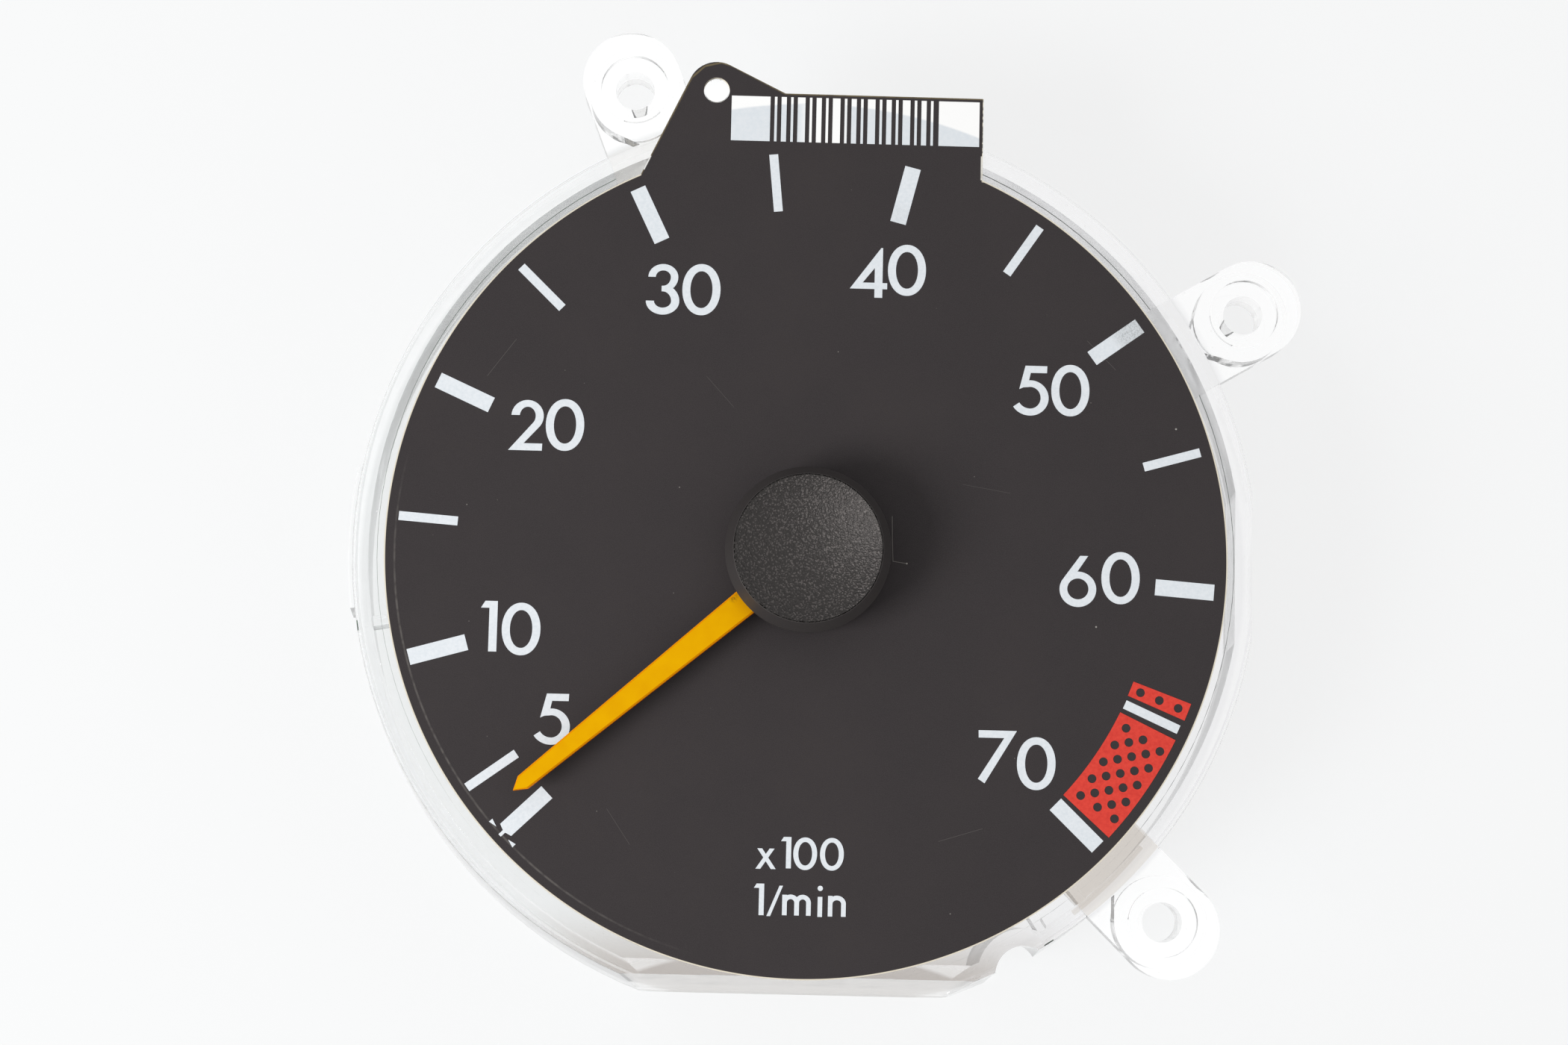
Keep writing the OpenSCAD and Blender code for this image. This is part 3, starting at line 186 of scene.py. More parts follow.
class Finish:
    """A Principled material with short calls for the nodes that drive it."""

    def __init__(self, name, colour, roughness, **values):
        self.material = bpy.data.materials.new(name)
        self.material.use_nodes = True
        self.tree = self.material.node_tree
        self.shader = self.tree.nodes["Principled BSDF"]
        self.shader.inputs["Base Color"].default_value = srgb(colour)
        self.shader.inputs["Roughness"].default_value = roughness
        for name, value in values.items():
            self.shader.inputs[name.replace("_", " ").title().replace("Ior", "IOR")].default_value = value
        self.place = self.node("ShaderNodeTexCoord").outputs["Object"]
        self.normal = None

    def node(self, kind, **settings):
        made = self.tree.nodes.new(kind)
        for name, value in settings.items():
            setattr(made, name, value)
        return made

    def plug(self, socket, value):
        plug(self.tree, socket, value)

    def math(self, operation, a, b=0.0):
        return math_node(self.tree, operation, a, b)

    def times(self, first, *others):
        """The product of masks and numbers."""
        for other in others:
            first = self.math("MULTIPLY", first, other)
        return first

    def above(self, value, limit):
        return self.math("GREATER_THAN", value, limit)

    def below(self, value, limit):
        return self.math("LESS_THAN", value, limit)

    def stretch(self, scale):
        """The place, scaled on each axis, for brushed grain."""
        made = self.node("ShaderNodeMapping")
        self.plug(made.inputs["Vector"], self.place)
        made.inputs["Scale"].default_value = scale
        return made.outputs[0]

    def noise(self, size, detail=2.0, place=None, roughness=0.5, distortion=0.0):
        """Noise whose patches are about size millimetres across."""
        made = self.node("ShaderNodeTexNoise")
        self.plug(made.inputs["Vector"], place or self.place)
        made.inputs["Scale"].default_value = 1 / (size * MM)
        made.inputs["Detail"].default_value = detail
        made.inputs["Roughness"].default_value = roughness
        made.inputs["Distortion"].default_value = distortion
        return made.outputs["Fac"]

    def cells(self, size, feature="F1"):
        """Distance from the middle of cells that are about size millimetres across."""
        made = self.node("ShaderNodeTexVoronoi", feature=feature)
        self.plug(made.inputs["Vector"], self.place)
        made.inputs["Scale"].default_value = 1 / (size * MM)
        return made.outputs["Distance"]

    def ridges(self, size, axis):
        """Slightly uneven ridges across an axis, one every size millimetres."""
        made = self.node("ShaderNodeTexWave", bands_direction=axis)
        self.plug(made.inputs["Vector"], self.place)
        made.inputs["Scale"].default_value = WAVE_LENGTH / (size * MM)
        made.inputs["Distortion"].default_value = 0.6
        made.inputs["Detail"].default_value = 1.0
        return made.outputs["Fac"]

    def remap(self, value, low, high, to_low=0.0, to_high=1.0, smooth=False):
        made = self.node("ShaderNodeMapRange", interpolation_type="SMOOTHSTEP" if smooth else "LINEAR")
        self.plug(made.inputs["Value"], value)
        for name, number in zip(("From Min", "From Max", "To Min", "To Max"), (low, high, to_low, to_high)):
            made.inputs[name].default_value = number
        return made.outputs[0]

    def fall(self, value, low, high, smooth=False):
        """1 up to low and 0 from high on."""
        return self.remap(value, low, high, 1.0, 0.0, smooth)

    def blend(self, mask, a, b):
        """Colour a where mask is 0 and b where it is 1; both are sockets or 0 to 255 colours."""
        made = self.node("ShaderNodeMix", data_type="RGBA")
        self.plug(made.inputs["Factor"], mask)
        for socket, colour in ((made.inputs[6], a), (made.inputs[7], b)):
            self.plug(socket, colour if isinstance(colour, bpy.types.NodeSocket) else srgb(colour))
        return made.outputs[2]

    def axis(self, which):
        """One coordinate of the place, in metres."""
        split = self.node("ShaderNodeSeparateXYZ")
        self.plug(split.inputs[0], self.place)
        return split.outputs[which]

    def radius(self, x=0.0, y=0.0):
        """Distance from a line along Z through x, y, in millimetres."""
        dx = self.math("SUBTRACT", self.axis(0), x * MM)
        dy = self.math("SUBTRACT", self.axis(1), y * MM)
        squares = self.math("ADD", self.times(dx, dx), self.times(dy, dy))
        return self.math("DIVIDE", self.math("SQRT", squares), MM)

    def upright(self):
        """1 where the surface faces along Z, either way, and 0 on its sides."""
        normal = self.node("ShaderNodeTexCoord").outputs["Normal"]
        split = self.node("ShaderNodeSeparateXYZ")
        self.plug(split.inputs[0], normal)
        return self.math("ABSOLUTE", split.outputs[2])

    def colour(self, value):
        self.plug(self.shader.inputs["Base Color"], value)

    def roughness(self, value):
        self.plug(self.shader.inputs["Roughness"], value)

    def bump(self, height, depth):
        """Relief of about depth millimetres, on top of what is there already."""
        made = self.node("ShaderNodeBump")
        made.inputs["Distance"].default_value = depth * MM
        self.plug(made.inputs["Height"], height)
        if self.normal:
            self.plug(made.inputs["Normal"], self.normal)
        self.normal = made.outputs[0]
        self.plug(self.shader.inputs["Normal"], self.normal)


def moulded(name, colour, roughness, grain=0.12, depth=0.004, shade=0.12, **values):
    """Moulded plastic: fine grain, slight mottling and uneven gloss."""
    f = Finish(name, colour, roughness, **values)
    darker = [c * (1 - shade) for c in colour]
    f.colour(f.blend(f.remap(f.noise(2.5, 4.0), 0.35, 0.7), colour, darker))
    f.roughness(f.remap(f.noise(0.9, 3.0), 0.3, 0.7, roughness - 0.06, roughness + 0.08))
    f.bump(f.noise(grain, 3.0), depth)
    return f


def metal(name, colour, roughness, brushed=None, tarnish=0.25, spots=1.2, **values):
    """Metal with worn and tarnished patches; brushed is the scale of its grain on each axis."""
    f = Finish(name, colour, roughness, metallic=1.0, **values)
    dull = [c * (1 - tarnish) for c in colour]
    f.colour(f.blend(f.remap(f.noise(spots, 5.0), 0.4, 0.75), colour, dull))
    place = f.stretch(brushed) if brushed else None
    grain = f.noise(0.15, 3.0, place=place)
    f.roughness(f.remap(grain, 0.3, 0.7, roughness - 0.08, roughness + 0.14))
    f.bump(grain, 0.002)
    return f


# Where the carrier's skirt ends and its lugs begin, the lugs' tint, and the skirt's painted shade at its
# left, its right and towards the bottom
SKIRT_R = 54.1
LUG_TINT = (249, 249, 249)
LEFT_PAINTED_SHADE, RIGHT_PAINTED_SHADE, LOW_PAINTED_SHADE = (224, 225, 225), (237, 237, 238), (182, 176, 171)
# Direction of each lug's arm in degrees, and the painted shade where it crosses the skirt
ARM_PAINTED_SHADES = ((30.4, (228, 228, 229)), (111.4, (224, 223, 221)), (315.3, (209, 203, 197)))
ARM_HALF_WIDTH = 5.85
ARM_INNER, ARM_OUTER = 49.0, 53.9
SHADOW_TINT = (0.86, 0.87, 0.88, 1)


def arm_root(f, angle):
    """1 where the lug's arm in a direction, in degrees, crosses the skirt, which is where its painted shade
    goes.
    """
    c, s = polar(1, angle)
    along = f.math("ADD", f.times(f.axis(0), c), f.times(f.axis(1), s))
    across = f.math("SUBTRACT", f.times(f.axis(1), c), f.times(f.axis(0), s))
    mask = f.below(f.math("ABSOLUTE", across), ARM_HALF_WIDTH * MM)
    return f.times(mask, f.above(along, ARM_INNER * MM), f.fall(f.radius(), ARM_OUTER - 0.15, ARM_OUTER))


def clear_plastic():
    """Clear moulding that lets lamps through, with soft flow marks, uneven gloss and specks, and painted
    shade where the skirt and the lug arms are seen through.
    """
    f = Finish("clear_plastic", (252, 252, 252), 0.03, ior=1.49, transmission_weight=1.0)
    f.bump(f.noise(6.0, 1.0, distortion=0.3), 0.004)
    specks = f.fall(f.cells(1.4), 0.03, 0.07)
    gloss = f.remap(f.noise(3.0, 4.0), 0.45, 0.75, 0.015, 0.09)
    f.roughness(f.math("MAXIMUM", gloss, f.times(specks, 0.5)))
    # Painted shade: the skirt darker towards the bottom and on its left
    low = f.fall(f.axis(1), -51.5 * MM, -41 * MM, smooth=True)
    skirt_shade = f.blend(f.remap(f.axis(0), -25 * MM, 25 * MM, smooth=True), LEFT_PAINTED_SHADE, RIGHT_PAINTED_SHADE)
    skirt_shade = f.blend(low, skirt_shade, LOW_PAINTED_SHADE)
    tint_and_shade = f.blend(f.remap(f.radius(), SKIRT_R, SKIRT_R + 0.5), skirt_shade, LUG_TINT)
    # Painted shade where each lug's arm crosses the skirt
    for angle, colour in ARM_PAINTED_SHADES:
        tint_and_shade = f.blend(arm_root(f, angle), tint_and_shade, colour)
    f.colour(f.blend(f.times(specks, 0.3), tint_and_shade, (180, 176, 170)))
    through = f.node("ShaderNodeBsdfTransparent")
    through.inputs["Color"].default_value = SHADOW_TINT
    mix = f.node("ShaderNodeMixShader")
    f.plug(mix.inputs["Fac"], ray_mask(f.tree, "Is Shadow Ray"))
    f.plug(mix.inputs[1], f.shader.outputs[0])
    f.plug(mix.inputs[2], through.outputs[0])
    f.plug(f.tree.nodes["Material Output"].inputs["Surface"], mix.outputs[0])
    return f


MARGIN = 0.17
TAB_LEFT, TAB_RIGHT = -20.9, 20.1
TAB_FOOT_Y = 45.0
# The tab's upper outline, from its left foot round the lobe and along the top, and its two feet
TAB_EDGE = ((TAB_LEFT, 45.5), (-15.2, 57.4), (-13.6, 58.9), (-11.6, 59.4), (-10.3, 59.0), (-3.8, 55.75),
            (TAB_RIGHT, 55.75))
LEFT_FOOT = ((-20.6, 46.1), (-19.9, 47.6))
RIGHT_FOOT = ((20.0, 45.9), (20.0, 48.6))
# The tab's cut edge where it shows: a line of points, its colour and its strength
CUT_EDGES = ((TAB_EDGE, (116, 104, 78), 0.85), (LEFT_FOOT, (246, 246, 244), 0.9),
             (RIGHT_FOOT, (236, 233, 224), 0.9))
CUT_EDGE_HALF = 0.11


def dial_margin(f):
    """1 on the narrow margin along the dial's outline that the black print leaves bare."""
    inner = DIAL_R - MARGIN
    beyond = f.above(f.radius(), DIAL_R)
    rim = f.times(f.remap(f.radius(), inner, inner + 0.03), f.math("SUBTRACT", 1.0, beyond))
    foot = f.times(f.above(f.axis(1), TAB_FOOT_Y * MM), f.below(f.axis(0), (TAB_RIGHT - 0.02) * MM),
                   f.above(f.axis(0), TAB_LEFT * MM))
    rim = f.times(rim, f.math("SUBTRACT", 1.0, foot))
    side = f.times(f.above(f.axis(0), (TAB_RIGHT - MARGIN * 0.5) * MM),
                   f.above(f.axis(1), (TAB_FOOT_Y + 0.5) * MM),
                   f.remap(f.noise(0.5, 3.0), 0.42, 0.55, 1.0, 0.2))
    return f.math("MAXIMUM", rim, side)


# Fine marks on the print: each a line of points, its half width and its strength
HAIR = (((10.03, 4.75), (10.10, 2.0), (10.22, -0.59), (11.82, -0.82)), 0.035, 0.75)
SCRATCHES = (
    (((-38.5, 20.4), (-35.2, 24.9)), 0.03, 0.25), (((16.2, -33.5), (21.3, -31.9)), 0.03, 0.22),
    (((-12.4, 21.0), (-9.1, 17.4)), 0.025, 0.2), (((33.0, 26.5), (36.4, 23.1)), 0.03, 0.25),
    (((-22.8, -30.6), (-20.0, -34.7)), 0.025, 0.22), (((18.4, 8.8), (24.0, 7.9)), 0.025, 0.18),
)
# Pale specks on the print: place, radius and strength
SPECKS = ((11.86, -0.82, 0.11, 0.9), (43.71, 16.12, 0.13, 0.8), (34.42, -7.80, 0.12, 0.8),
          (-15.3, 7.6, 0.08, 0.5), (3.2, 24.4, 0.07, 0.5), (-40.4, 4.9, 0.08, 0.45),
          (17.7, -41.9, 0.08, 0.5))
# Radii of the worn line near the dial's edge, where it begins, is full, fades and ends
WORN_LINE = (48.58, 48.72, 48.78, 48.92)


def stroke(f, points, half_width):
    """1 along a line of points on the dial, in millimetres, and 0 away from it."""
    x = f.math("DIVIDE", f.axis(0), MM)
    y = f.math("DIVIDE", f.axis(1), MM)
    mask = None
    for (ax, ay), (bx, by) in zip(points, points[1:]):
        length = math.hypot(bx - ax, by - ay)
        ux, uy = (bx - ax) / length, (by - ay) / length
        dx, dy = f.math("SUBTRACT", x, ax), f.math("SUBTRACT", y, ay)
        along = f.math("ADD", f.times(dx, ux), f.times(dy, uy))
        across = f.math("ABSOLUTE", f.math("SUBTRACT", f.times(dx, uy), f.times(dy, ux)))
        part = f.times(f.fall(across, half_width * 0.6, half_width * 1.4), f.above(along, -half_width),
                       f.below(along, length + half_width))
        mask = part if mask is None else f.math("MAXIMUM", mask, part)
    return mask


def dial_ink(f, grain):
    """The black print, with clouds, dust and a worn line at its lower left."""
    cloud = f.remap(f.noise(14.0, 4.0, roughness=0.6), 0.4, 0.7)
    ink = f.blend(f.remap(grain, 0.25, 0.75), (48, 44, 45), (62, 58, 59))
    ink = f.blend(f.times(cloud, 0.35), ink, (62, 57, 57))
    dust = f.times(f.fall(f.cells(2.6), 0.018, 0.03), f.remap(f.noise(9.0, 1.0), 0.55, 0.62))
    ink = f.blend(f.times(dust, 0.5), ink, (140, 136, 130))
    begins, full, fades, ends = WORN_LINE
    line = f.times(f.remap(f.radius(), begins, full), f.fall(f.radius(), fades, ends))
    worn = f.remap(f.noise(1.1, 3.0), 0.38, 0.6, 0.35, 1.0)
    lower_left = f.times(f.remap(f.axis(0), -12 * MM, -30 * MM), f.remap(f.axis(1), 12 * MM, -6 * MM))
    return f.blend(f.times(line, worn, f.times(lower_left, 0.4)), ink, (128, 124, 119))


def dial_black():
    """Black print over a milky sheet, whose edge and back stay pale."""
    f = Finish("dial_black", (58, 54, 55), 0.62, specular_ior_level=0.12)
    grain = f.noise(0.09, 2.0)
    ink = dial_ink(f, grain)
    for points, half_width, strength in (HAIR, *SCRATCHES):
        ink = f.blend(f.times(stroke(f, points, half_width), strength), ink, (128, 124, 120))
    for x, y, size, strength in SPECKS:
        near = f.remap(f.radius(x, y), size * 0.7, size, strength, 0.0)
        ink = f.blend(near, ink, (172, 168, 162))
    for points, colour, most in CUT_EDGES:
        uneven = f.remap(f.noise(0.7, 3.0), 0.3, 0.55, 0.45, most)
        ink = f.blend(f.times(stroke(f, points, CUT_EDGE_HALF), uneven), ink, colour)
    on_top = f.above(f.axis(2), (DIAL_TOP - 0.01) * MM)
    printed = f.times(on_top, f.math("SUBTRACT", 1.0, dial_margin(f)))
    f.colour(f.blend(printed, (222, 214, 196), ink))
    f.roughness(f.remap(f.noise(0.5, 3.0), 0.3, 0.7, 0.55, 0.68))
    f.bump(grain, 0.003)
    return f


# Patches that age has greyed: direction in degrees, radius, reach and strength
GREYED_MARKS = ((36, 47.8, 3.2, 0.6), (76, 41.6, 2.6, 0.15))


def printed_layer(name, colour):
    """A layer of ink with a slight relief."""
    f = Finish(name, colour, 0.5, specular_ior_level=0.3)
    f.bump(f.noise(0.12, 2.0), 0.002)
    return f


def print_white():
    """White ink: a fine grain, and two marks that age has greyed."""
    f = printed_layer("print_white", (224, 229, 234))
    tone = f.blend(f.remap(f.noise(0.3, 3.0), 0.3, 0.7), (218, 224, 229), (229, 233, 237))
    for angle, pitch, reach, strength in GREYED_MARKS:
        near = f.fall(f.radius(*polar(pitch, angle)), reach * 0.55, reach)
        speckled = f.remap(f.noise(0.16, 3.0), 0.42, 0.62, 0.35, 1.0)
        tone = f.blend(f.times(near, speckled, strength), tone, (150, 152, 152))
    f.colour(tone)
    return f


def label_white():
    """Bare windows of the milky sheet: grey over the carrier, and painted light, white, where light would
    come through from behind.
    """
    f = printed_layer("label_white", (223, 228, 232))
    # Painted light: white beyond the carrier's edge, and over a gap in it, where light would shine through
    # from behind
    beyond = f.remap(f.radius(), 54.45, 54.7)
    gap = f.times(f.remap(f.axis(0), -2.2 * MM, -0.8 * MM), f.fall(f.axis(0), 3.0 * MM, 4.4 * MM))
    tone = f.blend(f.remap(f.noise(0.5, 3.0), 0.3, 0.7), (219, 225, 230), (226, 230, 234))
    f.colour(f.blend(f.math("MAXIMUM", beyond, gap), tone, (254, 254, 253)))
    return f


def print_red():
    """Red ink with a fine grain."""
    f = printed_layer("print_red", (220, 64, 50))
    f.colour(f.blend(f.remap(f.noise(0.35, 4.0), 0.35, 0.7), (222, 66, 52), (206, 54, 43)))
    return f


# Middle of a small painted shadow of the cap on the pointer
CAP_SHADOW_SPOT = (-8.6, -5.65)


def pointer_orange():
    """Fluorescent moulding: bright face, with painted shade as darker orange on its bevels, and a painted
    shadow of the cap beside it.
    """
    f = Finish("pointer_orange", (236, 170, 0), 0.4, specular_ior_level=0.03)
    face = f.blend(f.remap(f.noise(3.0, 3.0), 0.35, 0.7), (230, 170, 0), (224, 161, 0))
    # Painted shade: darker orange on the bevels, the more they face sideways
    bevel_shade = f.blend(f.remap(f.upright(), 0.2, 0.5), (196, 84, 8), (232, 146, 0))
    # Painted shadow of the cap: darker orange near it, and a darker spot at its edge
    face = f.blend(f.remap(f.radius(), 10.9, 9.9, 0.0, 0.35), face, (206, 132, 10))
    cap_shadow_spot = f.remap(f.radius(*CAP_SHADOW_SPOT), 0.15, 0.75, 0.75, 0.0)
    face = f.blend(f.times(cap_shadow_spot, f.remap(f.noise(0.3, 3.0), 0.35, 0.6)), face, (120, 82, 20))
    f.colour(f.blend(f.remap(f.upright(), 0.8, 0.97), bevel_shade, face))
    f.roughness(f.remap(f.noise(0.4, 3.0), 0.3, 0.7, 0.34, 0.48))
    f.bump(f.noise(0.2, 3.0), 0.004)
    return f


CAP_COLOUR = (37, 34, 34)
# The cap's grain lies inside this radius and above this height
CAP_GRAIN_R, CAP_GRAIN_Z = 8.6, 26.2
# Radius and depth of the relief that dishes the cap's face
CAP_DISH_R, CAP_DISH_DEPTH = 8.8, 1.45


def cap_black():
    """Black moulding with a leather-like grain on its dished face, with painted glints on the grain's peaks,
    and a smooth flank.
    """
    f = Finish("cap_black", CAP_COLOUR, 0.45, specular_ior_level=0.55,
               specular_tint=(1.0, 0.93, 0.9, 1.0))
    across = f.radius()
    face = f.times(f.fall(across, CAP_GRAIN_R, CAP_GRAIN_R + 0.12), f.above(f.axis(2), CAP_GRAIN_Z * MM))
    outward = f.math("DIVIDE", across, CAP_DISH_R)
    f.bump(f.times(outward, outward, face), CAP_DISH_DEPTH)
    height = f.math("ADD", f.times(f.cells(0.25, "SMOOTH_F1"), -0.8), f.noise(0.17, 2.0))
    f.bump(f.times(height, face), 0.1)
    # Painted glints: the grain's peaks lighter in colour
    tone = f.blend(f.remap(height, 0.22, 0.36), (5, 5, 5), (75, 71, 70))
    f.colour(f.blend(face, CAP_COLOUR, tone))
    f.roughness(f.remap(face, 0.0, 1.0, 0.45, 0.4))
    return f


def board_green():
    """Lacquered board: green skin with a faint weave, bare pale laminate at its edges."""
    f = Finish("board_green", (38, 84, 50), 0.32, coat_weight=0.25)
    weave = f.times(f.ridges(0.7, "X"), f.ridges(0.7, "Y"))
    skin = f.blend(f.remap(f.noise(6.0, 4.0), 0.35, 0.7), (40, 88, 52), (31, 72, 44))
    skin = f.blend(f.times(weave, 0.25), skin, (52, 104, 62))
    f.colour(f.blend(f.remap(f.upright(), 0.5, 0.6), (150, 138, 92), skin))
    f.bump(weave, 0.006)
    return f


def driver_black():
    """Moulding compound, with the legs at the chip's long sides in tinned metal."""
    f = Finish("chip_black", (34, 34, 35), 0.55)
    across = f.math("ABSOLUTE", f.math("SUBTRACT", f.axis(0), CHIP[0] * MM))
    leg = f.above(across, CHIP_HALF_WIDTH * MM)
    chip = f.blend(f.remap(f.noise(0.2, 3.0), 0.35, 0.7), (38, 38, 39), (29, 29, 30))
    f.colour(f.blend(leg, chip, (196, 196, 192)))
    f.plug(f.shader.inputs["Metallic"], leg)
    f.roughness(f.remap(leg, 0.0, 1.0, 0.55, 0.3))
    f.bump(f.noise(0.08, 2.0), 0.004)
    return f


def winding(name, axis):
    """Enamelled copper wire: close ridges across an axis, with painted shade darker in the grooves between
    turns.
    """
    f = Finish(name, COPPER, 0.3, metallic=0.8)
    turns_and_groove_shade = f.ridges(0.22, axis)
    # Painted shade: darker copper in the grooves between turns
    f.colour(f.blend(turns_and_groove_shade, [c * 0.55 for c in COPPER], COPPER))
    f.bump(turns_and_groove_shade, 0.05)
    return f


def make_materials():
    """Every material by its short name."""
    made = {
        "clear": clear_plastic(),
        "dial": dial_black(),
        "white": print_white(),
        "label": label_white(),
        "red": print_red(),
        "orange": pointer_orange(),
        "cap": cap_black(),
        "brass": metal("brass", (222, 190, 128), 0.28, tarnish=0.3),
        "spindle": metal("spindle_steel", (205, 205, 206), 0.16, tarnish=0.08),
        "can": metal("can_steel", (184, 184, 182), 0.3, brushed=(1, 1, 0.12), tarnish=0.07, spots=3.0),
        "ferrite": moulded("ferrite", (74, 74, 77), 0.5, grain=0.1, depth=0.01, shade=0.25, metallic=0.3),
        "natural": moulded("natural_plastic", (219, 215, 198), 0.42),
        "frame": moulded("frame_black", (52, 52, 54), 0.45, grain=0.3, depth=0.012),
        "inner_winding": winding("inner_winding", "X"),
        "outer_winding": winding("outer_winding", "Y"),
        "tinned": metal("tinned", (206, 204, 196), 0.3, tarnish=0.15, spots=0.8),
        "screw": metal("screw_zinc", (205, 200, 178), 0.28, tarnish=0.2, spots=0.7),
        "board": board_green(),
        "chip": driver_black(),
        "diode": moulded("diode_black", (36, 36, 38), 0.35, grain=0.2),
        "sleeve": moulded("sleeve_blue", (38, 52, 92), 0.28, grain=0.5, depth=0.01, coat_weight=0.3),
        "ochre": moulded("resin_ochre", (190, 130, 52), 0.25, grain=0.9, depth=0.03, coat_weight=0.4),
        "tan": moulded("resistor_tan", (206, 172, 128), 0.38, grain=0.5, depth=0.01, coat_weight=0.2),
        "grey_green": moulded("resistor_green", (122, 136, 118), 0.5, grain=0.25, depth=0.015),
        "trimmer": moulded("trimmer_blue", (42, 86, 158), 0.35, grain=0.3),
        "mark": moulded("mark_white", (216, 216, 208), 0.5, grain=0.2, shade=0.08),
        "solder": metal("solder", (196, 196, 190), 0.22, tarnish=0.2, spots=0.5),
        "track": moulded("track_green", (66, 128, 74), 0.26, grain=0.4, coat_weight=0.3),
    }
    for name, colour in BAND_COLOURS.items():
        made["band_" + name] = moulded("band_" + name, colour, 0.35, grain=0.3, shade=0.1)
    return made


NODE_FINISHES = {
    "carrier": "clear", "dial_plate": "dial", "scale_marks": "white", "red_band": "red",
    "pointer_blade": "orange", "pointer_cap": "cap", "pointer_bush": "brass", "balance_weight": "brass",
    "spindle": "spindle", "rotor_magnet": "ferrite", "stop_arm": "natural", "movement_frame": "frame",
    "upper_bearing": "brass", "lower_bearing": "brass", "upper_bobbin": "natural", "lower_bobbin": "natural",
    "inner_coil": "inner_winding", "outer_coil": "outer_winding", "screening_can": "can",
    "terminal_pins": "tinned", "movement_screws": "screw", "circuit_board": "board", "board_screws": "screw",
    "driver_chip": "chip", "electrolytic_capacitors": "sleeve", "film_capacitors": "ochre",
    "resistors": "tan", "power_resistor": "grey_green", "diodes": "diode", "trimmer_body": "trimmer",
    "trimmer_rotor": "natural", "plug_base": "frame", "plug_contacts": "brass",
}


def dress_nodes(materials):
    for node, finish in NODE_FINISHES.items():
        for slot in NODES[node].material_slots:
            slot.material = materials[finish].material


# Mesh helpers

def add_piece(name, bm, material, smooth=False, body="instrument"):
    """A piece made from bm, which rides on a body and takes a material."""
    mesh = mesh_from(name, bm, smooth)
    piece = bpy.data.objects.new(name, mesh)
    bpy.context.scene.collection.objects.link(piece)
    mesh.materials.append(material.material)
    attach(piece, body)


def mesh_from(name, bm, smooth):
    bmesh.ops.remove_doubles(bm, verts=bm.verts, dist=1e-7)
    bmesh.ops.recalc_face_normals(bm, faces=bm.faces)
    mesh = bpy.data.meshes.new(name)
    bm.to_mesh(mesh)
    bm.free()
    for polygon in mesh.polygons:
        polygon.use_smooth = smooth
    return mesh


def add_prism(bm, loops, low, high):
    """A flat shape with holes, loops[0] outside, made into a solid from z low to z high."""
    flat = [[Vector((x, y, 0)) for x, y in loop] for loop in loops]
    triangles = tessellate_polygon(flat)
    rings = []
    for z in (low, high):
        rings.append([bm.verts.new((p.x * MM, p.y * MM, z * MM)) for loop in flat for p in loop])
    for a, b, c in triangles:
        bm.faces.new([rings[1][a], rings[1][b], rings[1][c]])
        bm.faces.new([rings[0][c], rings[0][b], rings[0][a]])
    start = 0
    for loop in flat:
        count = len(loop)
        for k in range(count):
            i, j = start + k, start + (k + 1) % count
            bm.faces.new([rings[0][i], rings[0][j], rings[1][j], rings[1][i]])
        start += count


def arc(cx, cy, rx, ry, start, end, steps):
    """Points of an ellipse from one angle to another, in degrees."""
    out = []
    for k in range(steps + 1):
        a = math.radians(start + (end - start) * k / steps)
        out.append((cx + rx * math.cos(a), cy + ry * math.sin(a)))
    return out


# Numerals and units, each as an outline and holes about the centre of its box

def oval(rx, ry, power=2.08, steps=56):
    """An ellipse at power 2, and squarer above it."""
    out = []
    for k in range(steps):
        a = 2 * math.pi * k / steps
        c, s = math.cos(a), math.sin(a)
        x = rx * math.copysign(abs(c) ** (2 / power), c)
        y = ry * math.copysign(abs(s) ** (2 / power), s)
        out.append((x, y))
    return out


def digit_0():
    return [oval(2.28, 3.11), oval(1.32, 2.24)]


def digit_1():
    outline = [(0, 0), (-1.46, 0), (-1.97, -0.82), (-0.965, -0.82), (-0.965, -5.98), (0, -5.98)]
    return [[(x + 0.985, y + 2.99) for x, y in outline]]


def digit_2():
    return [[(-2.03, -3.015), *arc(0.176, 1.11, 0.945, 1.11, -44, 175.4, 28),
             *arc(0.156, 1.11, 1.92, 1.92, 177.3, -44.4, 32), (-0.22, -2.165), (2.0, -2.165),
             (1.97, -3.02)]]


def digit_3():
    return [[*arc(0.02, 1.49, 1.79, 1.58, 180, 0, 24), *arc(0.02, 1.49, 1.79, 1.77, 0, -48.5, 10)[1:],
             *arc(0, -1.42, 2.0, 1.98, 52.8, 0, 10), *arc(0, -1.42, 2.0, 1.65, 0, -180, 24)[1:],
             *arc(0, -1.42, 1.02, 0.81, -180, 0, 20), *arc(0, -1.42, 1.02, 1.17, 0, 90, 10)[1:],
             (-0.15, -0.25), (-0.15, 0.43), *arc(0.02, 1.49, 0.90, 1.06, -90, 0, 10),
             *arc(0.02, 1.49, 0.90, 0.81, 0, 180, 20)[1:]]]


def digit_4():
    outline = [(-2.24, -1.96), (1.45, 3.05), (1.66, 3.05), (1.66, -1.22), (2.23, -1.22), (2.23, -1.96),
               (1.66, -1.96), (1.66, -3.01), (0.715, -3.01), (0.715, -1.96)]
    return [outline, [(-0.71, -1.2), (0.715, -1.2), (0.715, 0.60)]]


